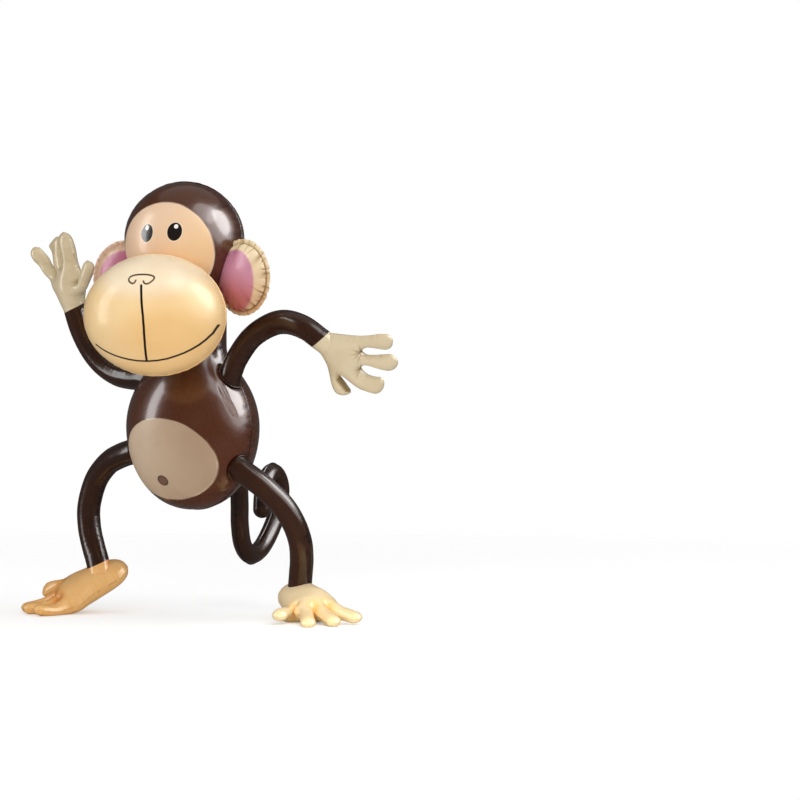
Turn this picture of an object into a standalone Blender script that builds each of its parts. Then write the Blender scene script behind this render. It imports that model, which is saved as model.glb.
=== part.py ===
# Inflatable monkey, standing on its toes, arms out, tail curled behind.
#
# Frame: +Z up, the torso faces -Y, the monkey's own left hand is at +X.
# The figure is laid out on a grid whose step is its height divided by 430, over a point under the
# middle of the torso. At the end it is moved so that the origin lies on the floor in the middle of
# the figure's length and depth.
# Every free form (head, torso, limbs) keeps its proportions in those steps.

import math

import bmesh
import bpy
import numpy as np
from mathutils import Matrix, Vector

# Overall size
HEIGHT = 0.688
STEP = HEIGHT / 430.0

# Clearance between neighbouring chambers, and the depth that the soles are flattened by
GAP = 0.0003
SOLE_FLAT = 0.0022

# Head: a round chamber of a front and a back panel, turned toward the monkey's left
HEAD_WIDTH = 118.0 * STEP
HEAD_DEPTH = 110.0 * STEP
HEAD_CROWN = 56.0 * STEP
HEAD_CHIN = 66.0 * STEP
HEAD_YAW = math.radians(17.0)
HEAD_CENTRE = (3.0, -23.0)

# Muzzle: a wide chamber welded on the front of the head
MUZZLE_WIDTH = 140.0 * STEP
MUZZLE_HEIGHT = 116.0 * STEP
MUZZLE_FRONT = 57.0 * STEP
MUZZLE_BACK = 40.0 * STEP
MUZZLE_YAW = math.radians(19.0)
MUZZLE_BEARING = math.radians(10.0)
MUZZLE_DROP = 73.5 * STEP
MUZZLE_FORWARD = 13.5 * STEP

# Ears: round pads on the sides of the head, cupped forward
EAR_WIDTH = 72.0 * STEP
EAR_HEIGHT = 72.0 * STEP
EAR_THICKNESS = 23.0 * STEP
EAR_OUT = 12.5 * STEP
EAR_DROP = 37.0 * STEP
EAR_LEFT_YAW = math.radians(-12.0)
EAR_RIGHT_YAW = math.radians(9.0)

# Torso: pear-shaped chamber that ends in a neck under the head
TORSO_WIDTH = 138.0 * STEP
TORSO_DEPTH = 116.0 * STEP
TORSO_FORWARD = 4.0 * STEP
TORSO_BOTTOM = 108.0 * STEP
TORSO_BELLY = 190.0 * STEP
TORSO_SHOULDER = 250.0 * STEP
TORSO_TOP = 326.0 * STEP
SHOULDER_SHARE = 0.68
NECK_WIDTH = 70.0 * STEP
NECK_ROUND = 24.0 * STEP

# Limbs and tail: round tubes
ARM_DIAMETER = 22.0 * STEP
LEG_DIAMETER = 23.5 * STEP
TAIL_DIAMETER = 18.5 * STEP

# Hands and feet: flat pads with three digits and a thumb
HAND_THICKNESS = 27.0 * STEP
FINGER_THICKNESS = 12.5 * STEP
FOOT_THICKNESS = 29.0 * STEP
TOE_THICKNESS = 13.5 * STEP

# Fineness
AROUND_LARGE = 32
RINGS_LARGE = 8
AROUND_EAR = 28
RINGS_EAR = 4
SIDES_TUBE = 14
PAD_LEVELS = 3
TIP_POINTS = 3

# Paths on the grid. Each starts inside the torso and ends inside the hand or foot.
ARM_LEFT_PATH = ((46.5, -10, 232), (49.5, -11, 242), (56.5, -10.5, 258), (72, -9, 278),
                 (94, -10, 290.5), (116, -15, 294), (139, -19, 289), (156, -16.5, 278), (162.5, -13.5, 272.5))
ARM_RIGHT_PATH = ((-38, -2, 231), (-60, 0, 236), (-78, 3, 236.5), (-97, 5, 239.5),
                  (-115, 6, 248.5), (-129, 5, 263), (-138.5, 1, 283), (-143, -4, 304), (-143.2, -5, 311))
LEG_LEFT_PATH = ((44, -12, 162), (65, -12, 147.5), (82, -7, 135), (97, 6, 116.5),
                 (104, 17, 98), (105, 28, 79), (100, 39, 61), (95, 45, 43), (92.5, 47, 28))
LEG_RIGHT_PATH = ((-40, -14, 169), (-64, -14, 164), (-84, -9.5, 158.5), (-103, -3.5, 150),
                  (-122, 3, 132.5), (-133, 6.5, 107), (-133, 7, 85), (-127.5, 6, 66), (-119.5, 2.5, 50), (-114.2, -0.8, 36))
TAIL_PATH = ((0, 34, 152), (-4, 62, 150), (-9, 84, 143), (-13, 98, 129), (-15, 103, 108),
             (-16, 105, 86), (-17, 112, 65), (-18, 128, 53.5), (-19, 149, 59), (-20, 169, 76),
             (-20, 183, 97), (-20, 188, 117), (-20, 182, 131), (-20, 171, 136), (-19, 159, 128),
             (-19, 152.5, 113), (-19, 151, 99))

# Digits on the grid: along the pad, toward the thumb, half width, lift out of the pad's plane.
HAND_LEFT_DIGITS = (((36, 3, 7, 0), (51, 2.4, 6.8, 0), (63.5, 2.4, 7.6, 0)),
                    ((40, 20, 6.6, 0), (53, 22, 7.2, 0), (66, 23.4, 8.4, 0)),
                    ((35, 35, 7.6, 0), (43, 42, 8.2, 0), (50.5, 47, 8.6, 0)))
HAND_LEFT_THUMB = ((12.5, 35, 8.2, 1), (14.5, 43, 8.4, 2), (16.5, 50.5, 8.6, 3))
HAND_RIGHT_DIGITS = (((28, -20, 7, -3), (43, -31, 6.6, -8), (57.5, -42, 7.2, -12)),
                     ((42, -14, 6.4, 0), (53, -20, 6.4, 3), (63, -26, 7, 7)),
                     ((46, 2, 8, 0), (58, 1.5, 8.4, 0), (70, -2.5, 9.2, 0)))
HAND_RIGHT_THUMB = ((24, 15, 6.6, 1), (33, 21.5, 6.6, 3), (43, 26, 7.6, 6))
FOOT_DIGITS = (((76, -15, 7.6, -1.2), (89, -20, 7.2, -2.4), (102, -25, 7.6, -2.8)),
               ((79, 0, 7.4, -1.2), (92, 0, 7.2, -2.4), (106.5, 0, 7.6, -2.8)),
               ((76, 15, 7.6, -1.2), (89, 20, 7.2, -2.4), (102, 24.5, 7.6, -2.8)))
FOOT_THUMB = ((56, 25, 7.6, 0), (65, 34, 7.4, 0), (74, 42, 7.8, 0))


def grid(point):
    """Point on the figure's grid as a vector in metres."""
    return Vector(point) * STEP


def smooth_path(points, count):
    """Points and directions at even steps of the rounded curve through the given points."""
    p = np.array(points, dtype=float)
    p = np.vstack([2 * p[0] - p[1], p, 2 * p[-1] - p[-2]])
    dense = []
    for i in range(1, len(p) - 2):
        for t in np.linspace(0.0, 1.0, 24, endpoint=False):
            a, b, c, d = p[i - 1], p[i], p[i + 1], p[i + 2]
            dense.append(0.5 * (2 * b + (c - a) * t + (2 * a - 5 * b + 4 * c - d) * t * t
                                + (3 * b - a - 3 * c + d) * t ** 3))
    dense.append(p[-2])
    dense = np.array(dense)
    length = np.concatenate([[0.0], np.cumsum(np.linalg.norm(np.diff(dense, axis=0), axis=1))])
    at = np.linspace(0.0, length[-1], count)
    out = np.stack([np.interp(at, length, dense[:, k]) for k in range(3)], axis=1)
    return out, length[-1]


def new_object(name, bm, colour, roughness):
    """Object from a mesh, with its own vinyl material and smooth shading."""
    bmesh.ops.recalc_face_normals(bm, faces=bm.faces)
    mesh = bpy.data.meshes.new(name)
    bm.to_mesh(mesh)
    bm.free()
    mesh.shade_smooth()
    obj = bpy.data.objects.new(name, mesh)
    bpy.context.scene.collection.objects.link(obj)
    material = bpy.data.materials.new(name + "_vinyl")
    material.use_nodes = True
    shader = material.node_tree.nodes["Principled BSDF"]
    shader.inputs["Base Color"].default_value = (*colour, 1.0)
    shader.inputs["Roughness"].default_value = roughness
    shader.inputs["Metallic"].default_value = 0.0
    mesh.materials.append(material)
    return obj


def swell(bm, amount):
    """Move every vertex outward along its normal."""
    bmesh.ops.recalc_face_normals(bm, faces=bm.faces)
    bm.normal_update()
    shift = [v.normal * amount for v in bm.verts]
    for v, s in zip(bm.verts, shift):
        v.co += s


def pillow(width, height_up, height_down, front, back, around, rings):
    """Inflated pad: an oval rim in the XZ plane, a dome toward -Y and one toward +Y."""
    bm = bmesh.new()

    def ring(part, side):
        depth = front if side < 0 else back
        row = []
        for k in range(around):
            turn = 2 * math.pi * k / around
            up = height_up if math.sin(turn) >= 0 else height_down
            row.append(bm.verts.new((0.5 * width * math.cos(turn) * math.sin(part),
                                     side * depth * math.cos(part),
                                     up * math.sin(turn) * math.sin(part))))
        return row

    rows = [ring(0.5 * math.pi * (j / rings), -1) for j in range(1, rings + 1)]
    rows += [ring(0.5 * math.pi * (j / rings), 1) for j in range(rings - 1, 0, -1)]
    poles = (bm.verts.new((0, -front, 0)), bm.verts.new((0, back, 0)))
    stitch(bm, rows, poles)
    return bm


def stitch(bm, rows, poles):
    """Close a stack of rings with quads and a fan, or a flat cap, at each end."""
    count = len(rows[0])
    for low, high in zip(rows, rows[1:]):
        for k in range(count):
            bm.faces.new((low[k], low[(k + 1) % count], high[(k + 1) % count], high[k]))
    for pole, row in zip(poles, (rows[0], rows[-1])):
        if pole is None:
            bm.faces.new(row)
        else:
            for k in range(count):
                bm.faces.new((pole, row[k], row[(k + 1) % count]))


def torso_mesh():
    """Pear of oval rings from the bottom pole to the neck, whose end is rounded inside the head."""
    bm = bmesh.new()
    shoulder = 0.5 * SHOULDER_SHARE * TORSO_WIDTH
    stations = []
    rings = 9
    for j in range(1, rings + 1):
        t = 0.5 * math.pi * j / rings
        z = TORSO_BELLY - (TORSO_BELLY - TORSO_BOTTOM) * math.cos(t)
        r = 0.5 * TORSO_WIDTH * math.sin(t) ** 0.93
        stations.append((z, r))
    upper = 9
    for j in range(1, upper + 1):
        t = j / upper
        z = TORSO_BELLY + (TORSO_TOP - TORSO_BELLY) * t
        s = (TORSO_SHOULDER - TORSO_BELLY) / (TORSO_TOP - TORSO_BELLY)
        bell = 0.5 * TORSO_WIDTH - (0.5 * TORSO_WIDTH - shoulder) * (t / s) ** 1.9
        neck = 0.5 * NECK_WIDTH
        blend = 1.0 / (1.0 + math.exp(-(t - 1.08 * s) * 17.0))
        r = max(neck, bell) * (1 - blend) + neck * blend
        stations.append((z, r))
    low = TORSO_TOP - NECK_ROUND
    stations = [s for s in stations if s[0] < low - 0.25 * NECK_ROUND]
    for j in range(5):
        t = 0.5 * math.pi * j / 5
        stations.append((low + NECK_ROUND * math.sin(t), neck * math.cos(t)))
    rows = []
    for z, r in stations:
        rows.append([bm.verts.new((r * math.cos(2 * math.pi * k / AROUND_LARGE),
                                   r * TORSO_DEPTH / TORSO_WIDTH * math.sin(2 * math.pi * k / AROUND_LARGE)
                                   - TORSO_FORWARD,
                                   z)) for k in range(AROUND_LARGE)])
    stitch(bm, rows, (bm.verts.new((0, -TORSO_FORWARD, TORSO_BOTTOM)),
                      bm.verts.new((0, -TORSO_FORWARD, TORSO_TOP))))
    return bm


def tube_mesh(path, diameter, spacing, round_end=False):
    """Round tube along a path, with flat ends or a rounded far end."""
    radius = 0.5 * diameter
    metres = [tuple(c * STEP for c in p) for p in path]
    _, length = smooth_path(metres, 2)
    count = max(6, round(length / spacing) + 1)
    centre, _ = smooth_path(metres, count)
    along = np.gradient(centre, axis=0)
    along /= np.linalg.norm(along, axis=1)[:, None]
    bm = bmesh.new()
    side = Vector(along[0]).orthogonal().normalized()
    rows = []
    for c, d in zip(centre, along):
        d = Vector(d)
        side = (side - d * side.dot(d)).normalized()
        other = d.cross(side)
        rows.append(tube_ring(bm, Vector(c), side, other, radius))
    far = None
    if round_end:
        tip, d = Vector(centre[-1]), Vector(along[-1])
        for part in (0.5, 0.85):
            rows.append(tube_ring(bm, tip + d * radius * math.sin(part * 1.25), side, other,
                                  radius * math.cos(part * 1.25)))
        far = bm.verts.new(tip + d * radius)
    stitch(bm, rows, (None, far))
    return bm


def tube_ring(bm, centre, side, other, radius):
    """One ring of a tube."""
    row = []
    for k in range(SIDES_TUBE):
        turn = 2 * math.pi * k / SIDES_TUBE
        row.append(bm.verts.new(centre + (side * math.cos(turn) + other * math.sin(turn)) * radius))
    return row


def pad_outline(palm, digits, thumb):
    """Outline of a hand or foot and, for each of its points, the middle point that it rises to.

    palm holds the heel, the middle and the ball as (along, across, half width).
    """
    nodes = []
    rim = []

    def node(point):
        nodes.append(point)
        return len(nodes) - 1

    def add(x, y, index):
        rim.append((x, y, index))

    heel, middle, ball = palm
    n_heel, n_middle, n_ball = (node((p[0], p[1], 0.0)) for p in palm)
    for k in range(TIP_POINTS + 2):
        turn = math.pi * (0.5 + (k + 0.5) / (TIP_POINTS + 2))
        add(heel[0] + heel[2] * math.cos(turn), heel[1] + heel[2] * math.sin(turn), n_heel)
    add(heel[0], heel[1] - heel[2], n_heel)
    add(middle[0], middle[1] - middle[2], n_middle)
    add(ball[0], ball[1] - ball[2], n_ball)

    def walk(digit):
        index = [node((x, y, lift)) for x, y, _, lift in digit]
        xy = [Vector((d[0], d[1])) for d in digit]
        way = [(b - a).normalized() for a, b in zip(xy, xy[1:])]
        way = [way[0]] + [(a + b).normalized() for a, b in zip(way, way[1:])] + [way[-1]]
        left = [p - Vector((-w.y, w.x)) * d[2] for p, w, d in zip(xy, way, digit)]
        right = [p + Vector((-w.y, w.x)) * d[2] for p, w, d in zip(xy, way, digit)]
        for p, i in zip(left, index):
            add(p.x, p.y, i)
        w, tip, half = way[-1], xy[-1], digit[-1][2]
        for k in range(1, TIP_POINTS + 1):
            turn = math.pi * k / (TIP_POINTS + 1)
            p = tip + (w * math.sin(turn) - Vector((-w.y, w.x)) * math.cos(turn)) * half
            add(p.x, p.y, index[-1])
        for p, i in zip(reversed(right), reversed(index)):
            add(p.x, p.y, i)
        return left[0], right[0]

    last = None
    for digit in digits:
        mark = len(rim)
        left, right = walk(digit)
        if last is not None:
            inward = Vector((ball[0], ball[1])) - 0.5 * (left + last)
            web = 0.5 * (left + last) + inward * 0.10
            rim.insert(mark, (web.x, web.y, n_ball))
        last = right
    add(ball[0] - 1.0, ball[1] + ball[2], n_ball)
    mark = len(rim)
    left, right = walk(thumb)
    web = 0.5 * left + 0.5 * Vector((ball[0] - 1.0, ball[1] + ball[2]))
    rim.insert(mark, (web.x, web.y, n_middle))
    add(middle[0] - 6.0, middle[1] + middle[2], n_middle)
    add(heel[0], heel[1] + heel[2], n_heel)
    return rim, nodes


def pad_mesh(palm, digits, thumb, rise, place):
    """Closed pad: two domed sheets that meet at the outline.

    rise gives the half thickness above and below at a middle point; place sets a point in space.
    """
    rim, nodes = pad_outline(palm, digits, thumb)
    bm = bmesh.new()
    edge = [bm.verts.new(place(x, y, nodes[i][2] if i > 2 else 0.0)) for x, y, i in rim]
    for side in (1, -1):
        crest = [bm.verts.new(place(x, y, lift + side * rise(i))) for i, (x, y, lift) in enumerate(nodes)]
        rows = [edge]
        for j in range(1, PAD_LEVELS):
            part = 0.5 * math.pi * j / PAD_LEVELS
            row = []
            for x, y, i in rim:
                cx, cy, lift = nodes[i]
                mix = 1 - math.cos(part)
                height = lift + side * rise(i) * math.sin(part)
                row.append(bm.verts.new(place(x + (cx - x) * mix, y + (cy - y) * mix, height)))
            rows.append(row)
        count = len(rim)
        for low, high in zip(rows, rows[1:]):
            for k in range(count):
                bm.faces.new((low[k], low[(k + 1) % count], high[(k + 1) % count], high[k]))
        inner = rows[-1]
        for k in range(count):
            a, b = rim[k][2], rim[(k + 1) % count][2]
            if a == b:
                bm.faces.new((inner[k], inner[(k + 1) % count], crest[a]))
            else:
                bm.faces.new((inner[k], inner[(k + 1) % count], crest[b], crest[a]))
    bmesh.ops.triangulate(bm, faces=bm.faces)
    return bm


def hand_placer(wrist, along, across):
    """Place a hand: its wrist point, the way of its fingers and the way of its thumb."""
    e1 = Vector(along).normalized()
    e2 = Vector(across)
    e2 = (e2 - e1 * e2.dot(e1)).normalized()
    e3 = e1.cross(e2)
    origin = grid(wrist)

    def place(x, y, z):
        return origin + (e1 * x + e2 * y + e3 * z) * STEP

    return place


def ease(x, start, end):
    """Smooth rise from 0 at start to 1 at end."""
    t = min(1.0, max(0.0, (x - start) / (end - start)))
    return t * t * (3 - 2 * t)


def foot_placer(heel, toward, pitch, roll, stretch, inner):
    """Place a foot: its sole runs down from the raised heel and bends flat toward the toes.

    toward is the ground direction of the toes. pitch and roll are the angles at the heel and at
    the toes, in degrees, and change over the stretch. inner is +1 or -1 for the thumb's side.
    """
    ahead = Vector((toward[0], toward[1], 0.0)).normalized()
    aside = Vector((-ahead.y, ahead.x, 0.0)) * inner
    up = Vector((0.0, 0.0, 1.0))

    def bend(pair, x):
        return math.radians(pair[0] + (pair[1] - pair[0]) * ease(x, stretch[0], stretch[1]))

    def place(x, y, z):
        steps = 24
        pos = Vector(heel)
        for k in range(steps):
            tilt = bend(pitch, (k + 0.5) / steps * x)
            pos = pos + (ahead * math.cos(tilt) - up * math.sin(tilt)) * (x / steps)
        tilt = bend(pitch, x)
        lean = bend(roll, x)
        top = ahead * math.sin(tilt) + up * math.cos(tilt)
        out = aside * math.cos(lean) - top * math.sin(lean)
        top = aside * math.sin(lean) + top * math.cos(lean)
        return (pos + out * y + top * z) * STEP

    return place


def half_rise(thick_palm, thick_digit):
    """Half thickness of a pad in grid steps: the palm's points first, then the digits'."""

    def rise(index):
        thick = thick_palm if index < 3 else thick_digit
        if index >= 3 and (index - 3) % 3 == 0:
            thick = 0.5 * (thick_palm + thick_digit) * 0.92
        return 0.5 * thick / STEP

    return rise


def turn_and_move(bm, yaw, centre):
    """Turn a mesh about the vertical and move it to its centre."""
    c, s = math.cos(yaw), math.sin(yaw)
    for v in bm.verts:
        x, y = v.co.x, v.co.y
        v.co = Vector((c * x - s * y, s * x + c * y, v.co.z)) + centre


def cut(obj, cutter):
    """Take a cutter's shape out of an object."""
    modifier = obj.modifiers.new("fit_" + cutter.name, "BOOLEAN")
    modifier.operation = "DIFFERENCE"
    modifier.solver = "EXACT"
    modifier.object = cutter


def guide(name, bm):
    """Hidden shape that neighbours are cut by."""
    bmesh.ops.recalc_face_normals(bm, faces=bm.faces)
    mesh = bpy.data.meshes.new(name)
    bm.to_mesh(mesh)
    bm.free()
    obj = bpy.data.objects.new(name, mesh)
    obj.hide_render = True
    obj.display_type = "WIRE"
    bpy.context.scene.collection.objects.link(obj)
    return obj


for old in list(bpy.data.objects):
    bpy.data.objects.remove(old, do_unlink=True)

BROWN = (0.090, 0.030, 0.014)
DARK_BROWN = (0.032, 0.012, 0.008)
CREAM = (0.90, 0.61, 0.29)
EAR_TAN = (0.72, 0.46, 0.24)
HAND_BEIGE = (0.70, 0.56, 0.38)
FOOT_PEACH = (0.90, 0.58, 0.26)

# Places of the head, muzzle and ears
head_at = grid((HEAD_CENTRE[0], HEAD_CENTRE[1], 0)) + Vector((0, 0, HEIGHT - HEAD_CROWN))
muzzle_way = Vector((math.sin(MUZZLE_BEARING), -math.cos(MUZZLE_BEARING), 0))
muzzle_at = head_at + muzzle_way * (0.5 * HEAD_DEPTH + MUZZLE_FORWARD) - Vector((0, 0, MUZZLE_DROP))
ear_left_at = head_at + Vector((math.cos(EAR_LEFT_YAW * 0.3), math.sin(EAR_LEFT_YAW * 0.3), 0)) * (
    0.5 * HEAD_WIDTH + EAR_OUT) - Vector((0, 0, EAR_DROP))
ear_right_at = head_at - Vector((math.cos(EAR_RIGHT_YAW * 0.3), math.sin(EAR_RIGHT_YAW * 0.3), 0)) * (
    0.5 * HEAD_WIDTH + EAR_OUT) - Vector((0, 0, EAR_DROP))


def head_mesh():
    """Head chamber in place."""
    bm = pillow(HEAD_WIDTH, HEAD_CROWN, HEAD_CHIN, 0.5 * HEAD_DEPTH, 0.5 * HEAD_DEPTH,
                AROUND_LARGE, RINGS_LARGE)
    turn_and_move(bm, HEAD_YAW, head_at)
    return bm


def muzzle_mesh():
    """Muzzle chamber in place."""
    bm = pillow(MUZZLE_WIDTH, 0.5 * MUZZLE_HEIGHT, 0.5 * MUZZLE_HEIGHT, MUZZLE_FRONT, MUZZLE_BACK,
                AROUND_LARGE, RINGS_LARGE)
    turn_and_move(bm, MUZZLE_YAW, muzzle_at)
    return bm


def ear_mesh(yaw, centre):
    """Ear pad in place."""
    bm = pillow(EAR_WIDTH, 0.5 * EAR_HEIGHT, 0.5 * EAR_HEIGHT, 0.5 * EAR_THICKNESS, 0.5 * EAR_THICKNESS,
                AROUND_EAR, RINGS_EAR)
    turn_and_move(bm, yaw, centre)
    return bm


def hand_mesh(left):
    """Hand pad in place."""
    rise = half_rise(HAND_THICKNESS, FINGER_THICKNESS)
    if left:
        palm = ((4.5, 3.5, 12.5), (18, 15, 19.5), (30, 18, 21))
        place = hand_placer((156, -17, 277.5), (0.95, 0.31, 0.0), (-0.22, 0.33, -0.93))
        return pad_mesh(palm, HAND_LEFT_DIGITS, HAND_LEFT_THUMB, rise, place)
    palm = ((7, 0, 11), (22, -2, 17), (31, -4, 19.5))
    place = hand_placer((-143, -4, 304), (-0.02, -0.17, 0.985), (0.93, -0.37, 0.0))
    return pad_mesh(palm, HAND_RIGHT_DIGITS, HAND_RIGHT_THUMB, rise, place)


def foot_mesh(left):
    """Foot pad in place, before its sole is flattened."""
    rise = half_rise(FOOT_THICKNESS, TOE_THICKNESS)
    palm = ((17, 0, 17), (44, 2, 21), (64, 1, 25))
    if left:
        place = foot_placer((73.6, 57.8, 25.8), (0.833, -0.554), (11.3, 8.7), (26.0, 4.0), (45, 71), -1)
    else:
        place = foot_placer((-100.7, 22.8, 46.6), (-0.638, -0.77), (27.4, -3.7), (-15.0, 2.5), (63, 106), -1)
    bm = pad_mesh(palm, FOOT_DIGITS, FOOT_THUMB, rise, place)
    lowest = min(v.co.z for v in bm.verts)
    for v in bm.verts:
        v.co.z -= lowest + SOLE_FLAT
    return bm


def grown(bm):
    """The same mesh, larger all round by the clearance."""
    swell(bm, GAP)
    return bm


head = new_object("head", head_mesh(), BROWN, 0.22)
torso = new_object("torso", torso_mesh(), BROWN, 0.22)
muzzle = new_object("muzzle", muzzle_mesh(), CREAM, 0.25)
ear_left = new_object("ear_left", ear_mesh(EAR_LEFT_YAW, ear_left_at), EAR_TAN, 0.25)
ear_right = new_object("ear_right", ear_mesh(EAR_RIGHT_YAW, ear_right_at), EAR_TAN, 0.25)
arm_left = new_object("arm_left", tube_mesh(ARM_LEFT_PATH, ARM_DIAMETER, 11 * STEP), DARK_BROWN, 0.18)
arm_right = new_object("arm_right", tube_mesh(ARM_RIGHT_PATH, ARM_DIAMETER, 11 * STEP), DARK_BROWN, 0.18)
leg_left = new_object("leg_left", tube_mesh(LEG_LEFT_PATH, LEG_DIAMETER, 12 * STEP), DARK_BROWN, 0.18)
leg_right = new_object("leg_right", tube_mesh(LEG_RIGHT_PATH, LEG_DIAMETER, 12 * STEP), DARK_BROWN, 0.18)
tail = new_object("tail", tube_mesh(TAIL_PATH, TAIL_DIAMETER, 8.5 * STEP, True), DARK_BROWN, 0.18)
hand_left = new_object("hand_left", hand_mesh(True), HAND_BEIGE, 0.25)
hand_right = new_object("hand_right", hand_mesh(False), HAND_BEIGE, 0.25)
foot_left = new_object("foot_left", foot_mesh(True), FOOT_PEACH, 0.25)
foot_right = new_object("foot_right", foot_mesh(False), FOOT_PEACH, 0.25)

# Neighbours grown by the clearance, and the floor, cut each chamber where it meets them
head_fit = guide("guide_head", grown(head_mesh()))
torso_fit = guide("guide_torso", grown(torso_mesh()))
hand_left_fit = guide("guide_hand_left", grown(hand_mesh(True)))
hand_right_fit = guide("guide_hand_right", grown(hand_mesh(False)))
foot_left_fit = guide("guide_foot_left", grown(foot_mesh(True)))
foot_right_fit = guide("guide_foot_right", grown(foot_mesh(False)))
floor_bm = bmesh.new()
bmesh.ops.create_cube(floor_bm, size=1.0)
for v in floor_bm.verts:
    v.co = Vector((v.co.x * 2 * HEIGHT, v.co.y * 2 * HEIGHT, (v.co.z - 0.5) * 0.1 * HEIGHT))
floor_fit = guide("guide_floor", floor_bm)

cut(torso, head_fit)
cut(muzzle, head_fit)
cut(muzzle, torso_fit)
cut(ear_left, head_fit)
cut(ear_right, head_fit)
cut(arm_left, torso_fit)
cut(arm_left, hand_left_fit)
cut(arm_right, torso_fit)
cut(arm_right, hand_right_fit)
cut(leg_left, torso_fit)
cut(leg_left, foot_left_fit)
cut(leg_right, torso_fit)
cut(leg_right, foot_right_fit)
cut(tail, torso_fit)
cut(foot_left, floor_fit)
cut(foot_right, floor_fit)

# Origin to the middle of the figure's outline, on the floor
chambers = [head, torso, muzzle, ear_left, ear_right, arm_left, arm_right, leg_left, leg_right, tail,
            hand_left, hand_right, foot_left, foot_right]
corners = np.array([tuple(v.co) for obj in chambers for v in obj.data.vertices])
middle = 0.5 * (corners.min(axis=0) + corners.max(axis=0))
for obj in chambers + [head_fit, torso_fit, hand_left_fit, hand_right_fit, foot_left_fit, foot_right_fit]:
    obj.data.transform(Matrix.Translation((-middle[0], -middle[1], 0.0)))
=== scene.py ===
"""Inflatable monkey figure in glossy vinyl film, standing on its own feet.

Every chamber is a surface worked out over two parameters and laid over the CAD solid that it
replaces. The printed marks are soft-edged fields that follow each chamber's own coordinates.
"""

import logging
import math
from dataclasses import dataclass, field, replace
from enum import Enum

import bpy
import numpy as np
from mathutils import Matrix, Vector

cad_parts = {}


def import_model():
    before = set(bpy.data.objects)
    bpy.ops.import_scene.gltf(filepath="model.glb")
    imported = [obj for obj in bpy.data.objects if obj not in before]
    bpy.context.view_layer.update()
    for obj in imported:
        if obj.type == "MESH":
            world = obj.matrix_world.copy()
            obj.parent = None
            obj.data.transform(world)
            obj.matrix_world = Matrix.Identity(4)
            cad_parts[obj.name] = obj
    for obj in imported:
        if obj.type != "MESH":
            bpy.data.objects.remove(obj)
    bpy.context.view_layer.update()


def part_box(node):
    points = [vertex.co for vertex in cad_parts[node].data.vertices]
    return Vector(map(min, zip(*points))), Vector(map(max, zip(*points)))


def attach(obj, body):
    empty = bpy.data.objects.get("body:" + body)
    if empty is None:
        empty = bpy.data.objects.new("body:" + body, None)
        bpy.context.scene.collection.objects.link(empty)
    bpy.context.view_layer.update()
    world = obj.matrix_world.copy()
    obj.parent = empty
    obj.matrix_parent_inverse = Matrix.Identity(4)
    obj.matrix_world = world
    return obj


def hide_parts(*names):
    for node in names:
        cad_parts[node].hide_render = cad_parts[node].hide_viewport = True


Array = np.ndarray
Pair = tuple[float, float]
Triple = tuple[float, float, float]
Colour = tuple[float, float, float, float]

LOG = logging.getLogger("inflatable")
STEP = 0.688 / 430.0


class Slot(Enum):
    """Material slots of the record."""

    BROWN = "brown_vinyl"
    DARK = "dark_vinyl"
    CREAM = "cream_vinyl"
    EAR = "ear_vinyl"
    HAND = "hand_vinyl"
    FOOT = "foot_vinyl"


class Side(Enum):
    """Side of the figure, seen from the figure itself: the left is at +X."""

    LEFT = 1
    RIGHT = -1


@dataclass(frozen=True)
class Layout:
    """Grid that the figure is laid out on.

    One step is the figure's height divided by 430, and the grid's origin lies on the floor under
    the middle of the torso.
    """

    step: float = STEP
    torso_forward: float = 4.0

    def origin(self) -> Array:
        """Place of the grid's origin in the frame, in metres."""
        low, high = (np.array(tuple(c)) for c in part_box("torso"))
        middle = 0.5 * (low + high)
        return np.array((middle[0], middle[1] + self.torso_forward * self.step, 0.0))

    def room(self, points: Array) -> Array:
        """Points of the grid in metres.

        Args:
            points: Points in steps, one per row.

        Returns:
            The same points in the frame.
        """
        return np.asarray(points, dtype=float) * self.step + self.origin()


@dataclass
class Shell:
    """Closed surface: its points in steps, its faces, and values that vary over it."""

    points: Array
    quads: Array
    tris: Array
    fields: dict[str, Array] = field(default_factory=dict)

    def outward(self) -> "Shell":
        """The same shell with its faces turned outward, judged by the sign of its volume."""
        p = self.points - self.points.mean(axis=0)
        volume = 0.0
        for face, corners in ((self.quads, ((0, 1, 2), (0, 2, 3))), (self.tris, ((0, 1, 2),))):
            for a, b, c in corners:
                if len(face):
                    volume += np.einsum("ij,ij->", p[face[:, a]], np.cross(p[face[:, b]], p[face[:, c]]))
        if volume < 0:
            return Shell(self.points, self.quads[:, ::-1], self.tris[:, ::-1], self.fields)
        return self

    def with_shell(self, other: "Shell") -> "Shell":
        """This shell and another one as one set of points and faces.

        Args:
            other: Shell that is added. Fields that it lacks are filled with zeros.

        Returns:
            The joined shells.
        """
        base = len(self.points)
        fields = {}
        for name, value in self.fields.items():
            extra = other.fields.get(name)
            if extra is None:
                extra = np.zeros((len(other.points),) + value.shape[1:])
            fields[name] = np.concatenate([value, extra])
        return Shell(np.vstack([self.points, other.points]),
                     np.vstack([self.quads, other.quads + base]),
                     np.vstack([self.tris, other.tris + base]), fields)


def unit(vectors: Array) -> Array:
    """Vectors brought to length one."""
    return vectors / np.linalg.norm(vectors, axis=-1, keepdims=True)


def turn_gap(turn: Array, middle: float) -> Array:
    """Angles away from a direction, the short way round."""
    return np.abs((turn - middle + math.pi) % (2 * math.pi) - math.pi)


def closed_lengths(points: Array) -> tuple[Array, Array]:
    """Length along a closed line at each of its points, and the length of each edge."""
    span = np.linalg.norm(np.roll(points, -1, axis=0) - points, axis=1)
    return np.concatenate([[0.0], np.cumsum(span)[:-1]]), span


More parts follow.
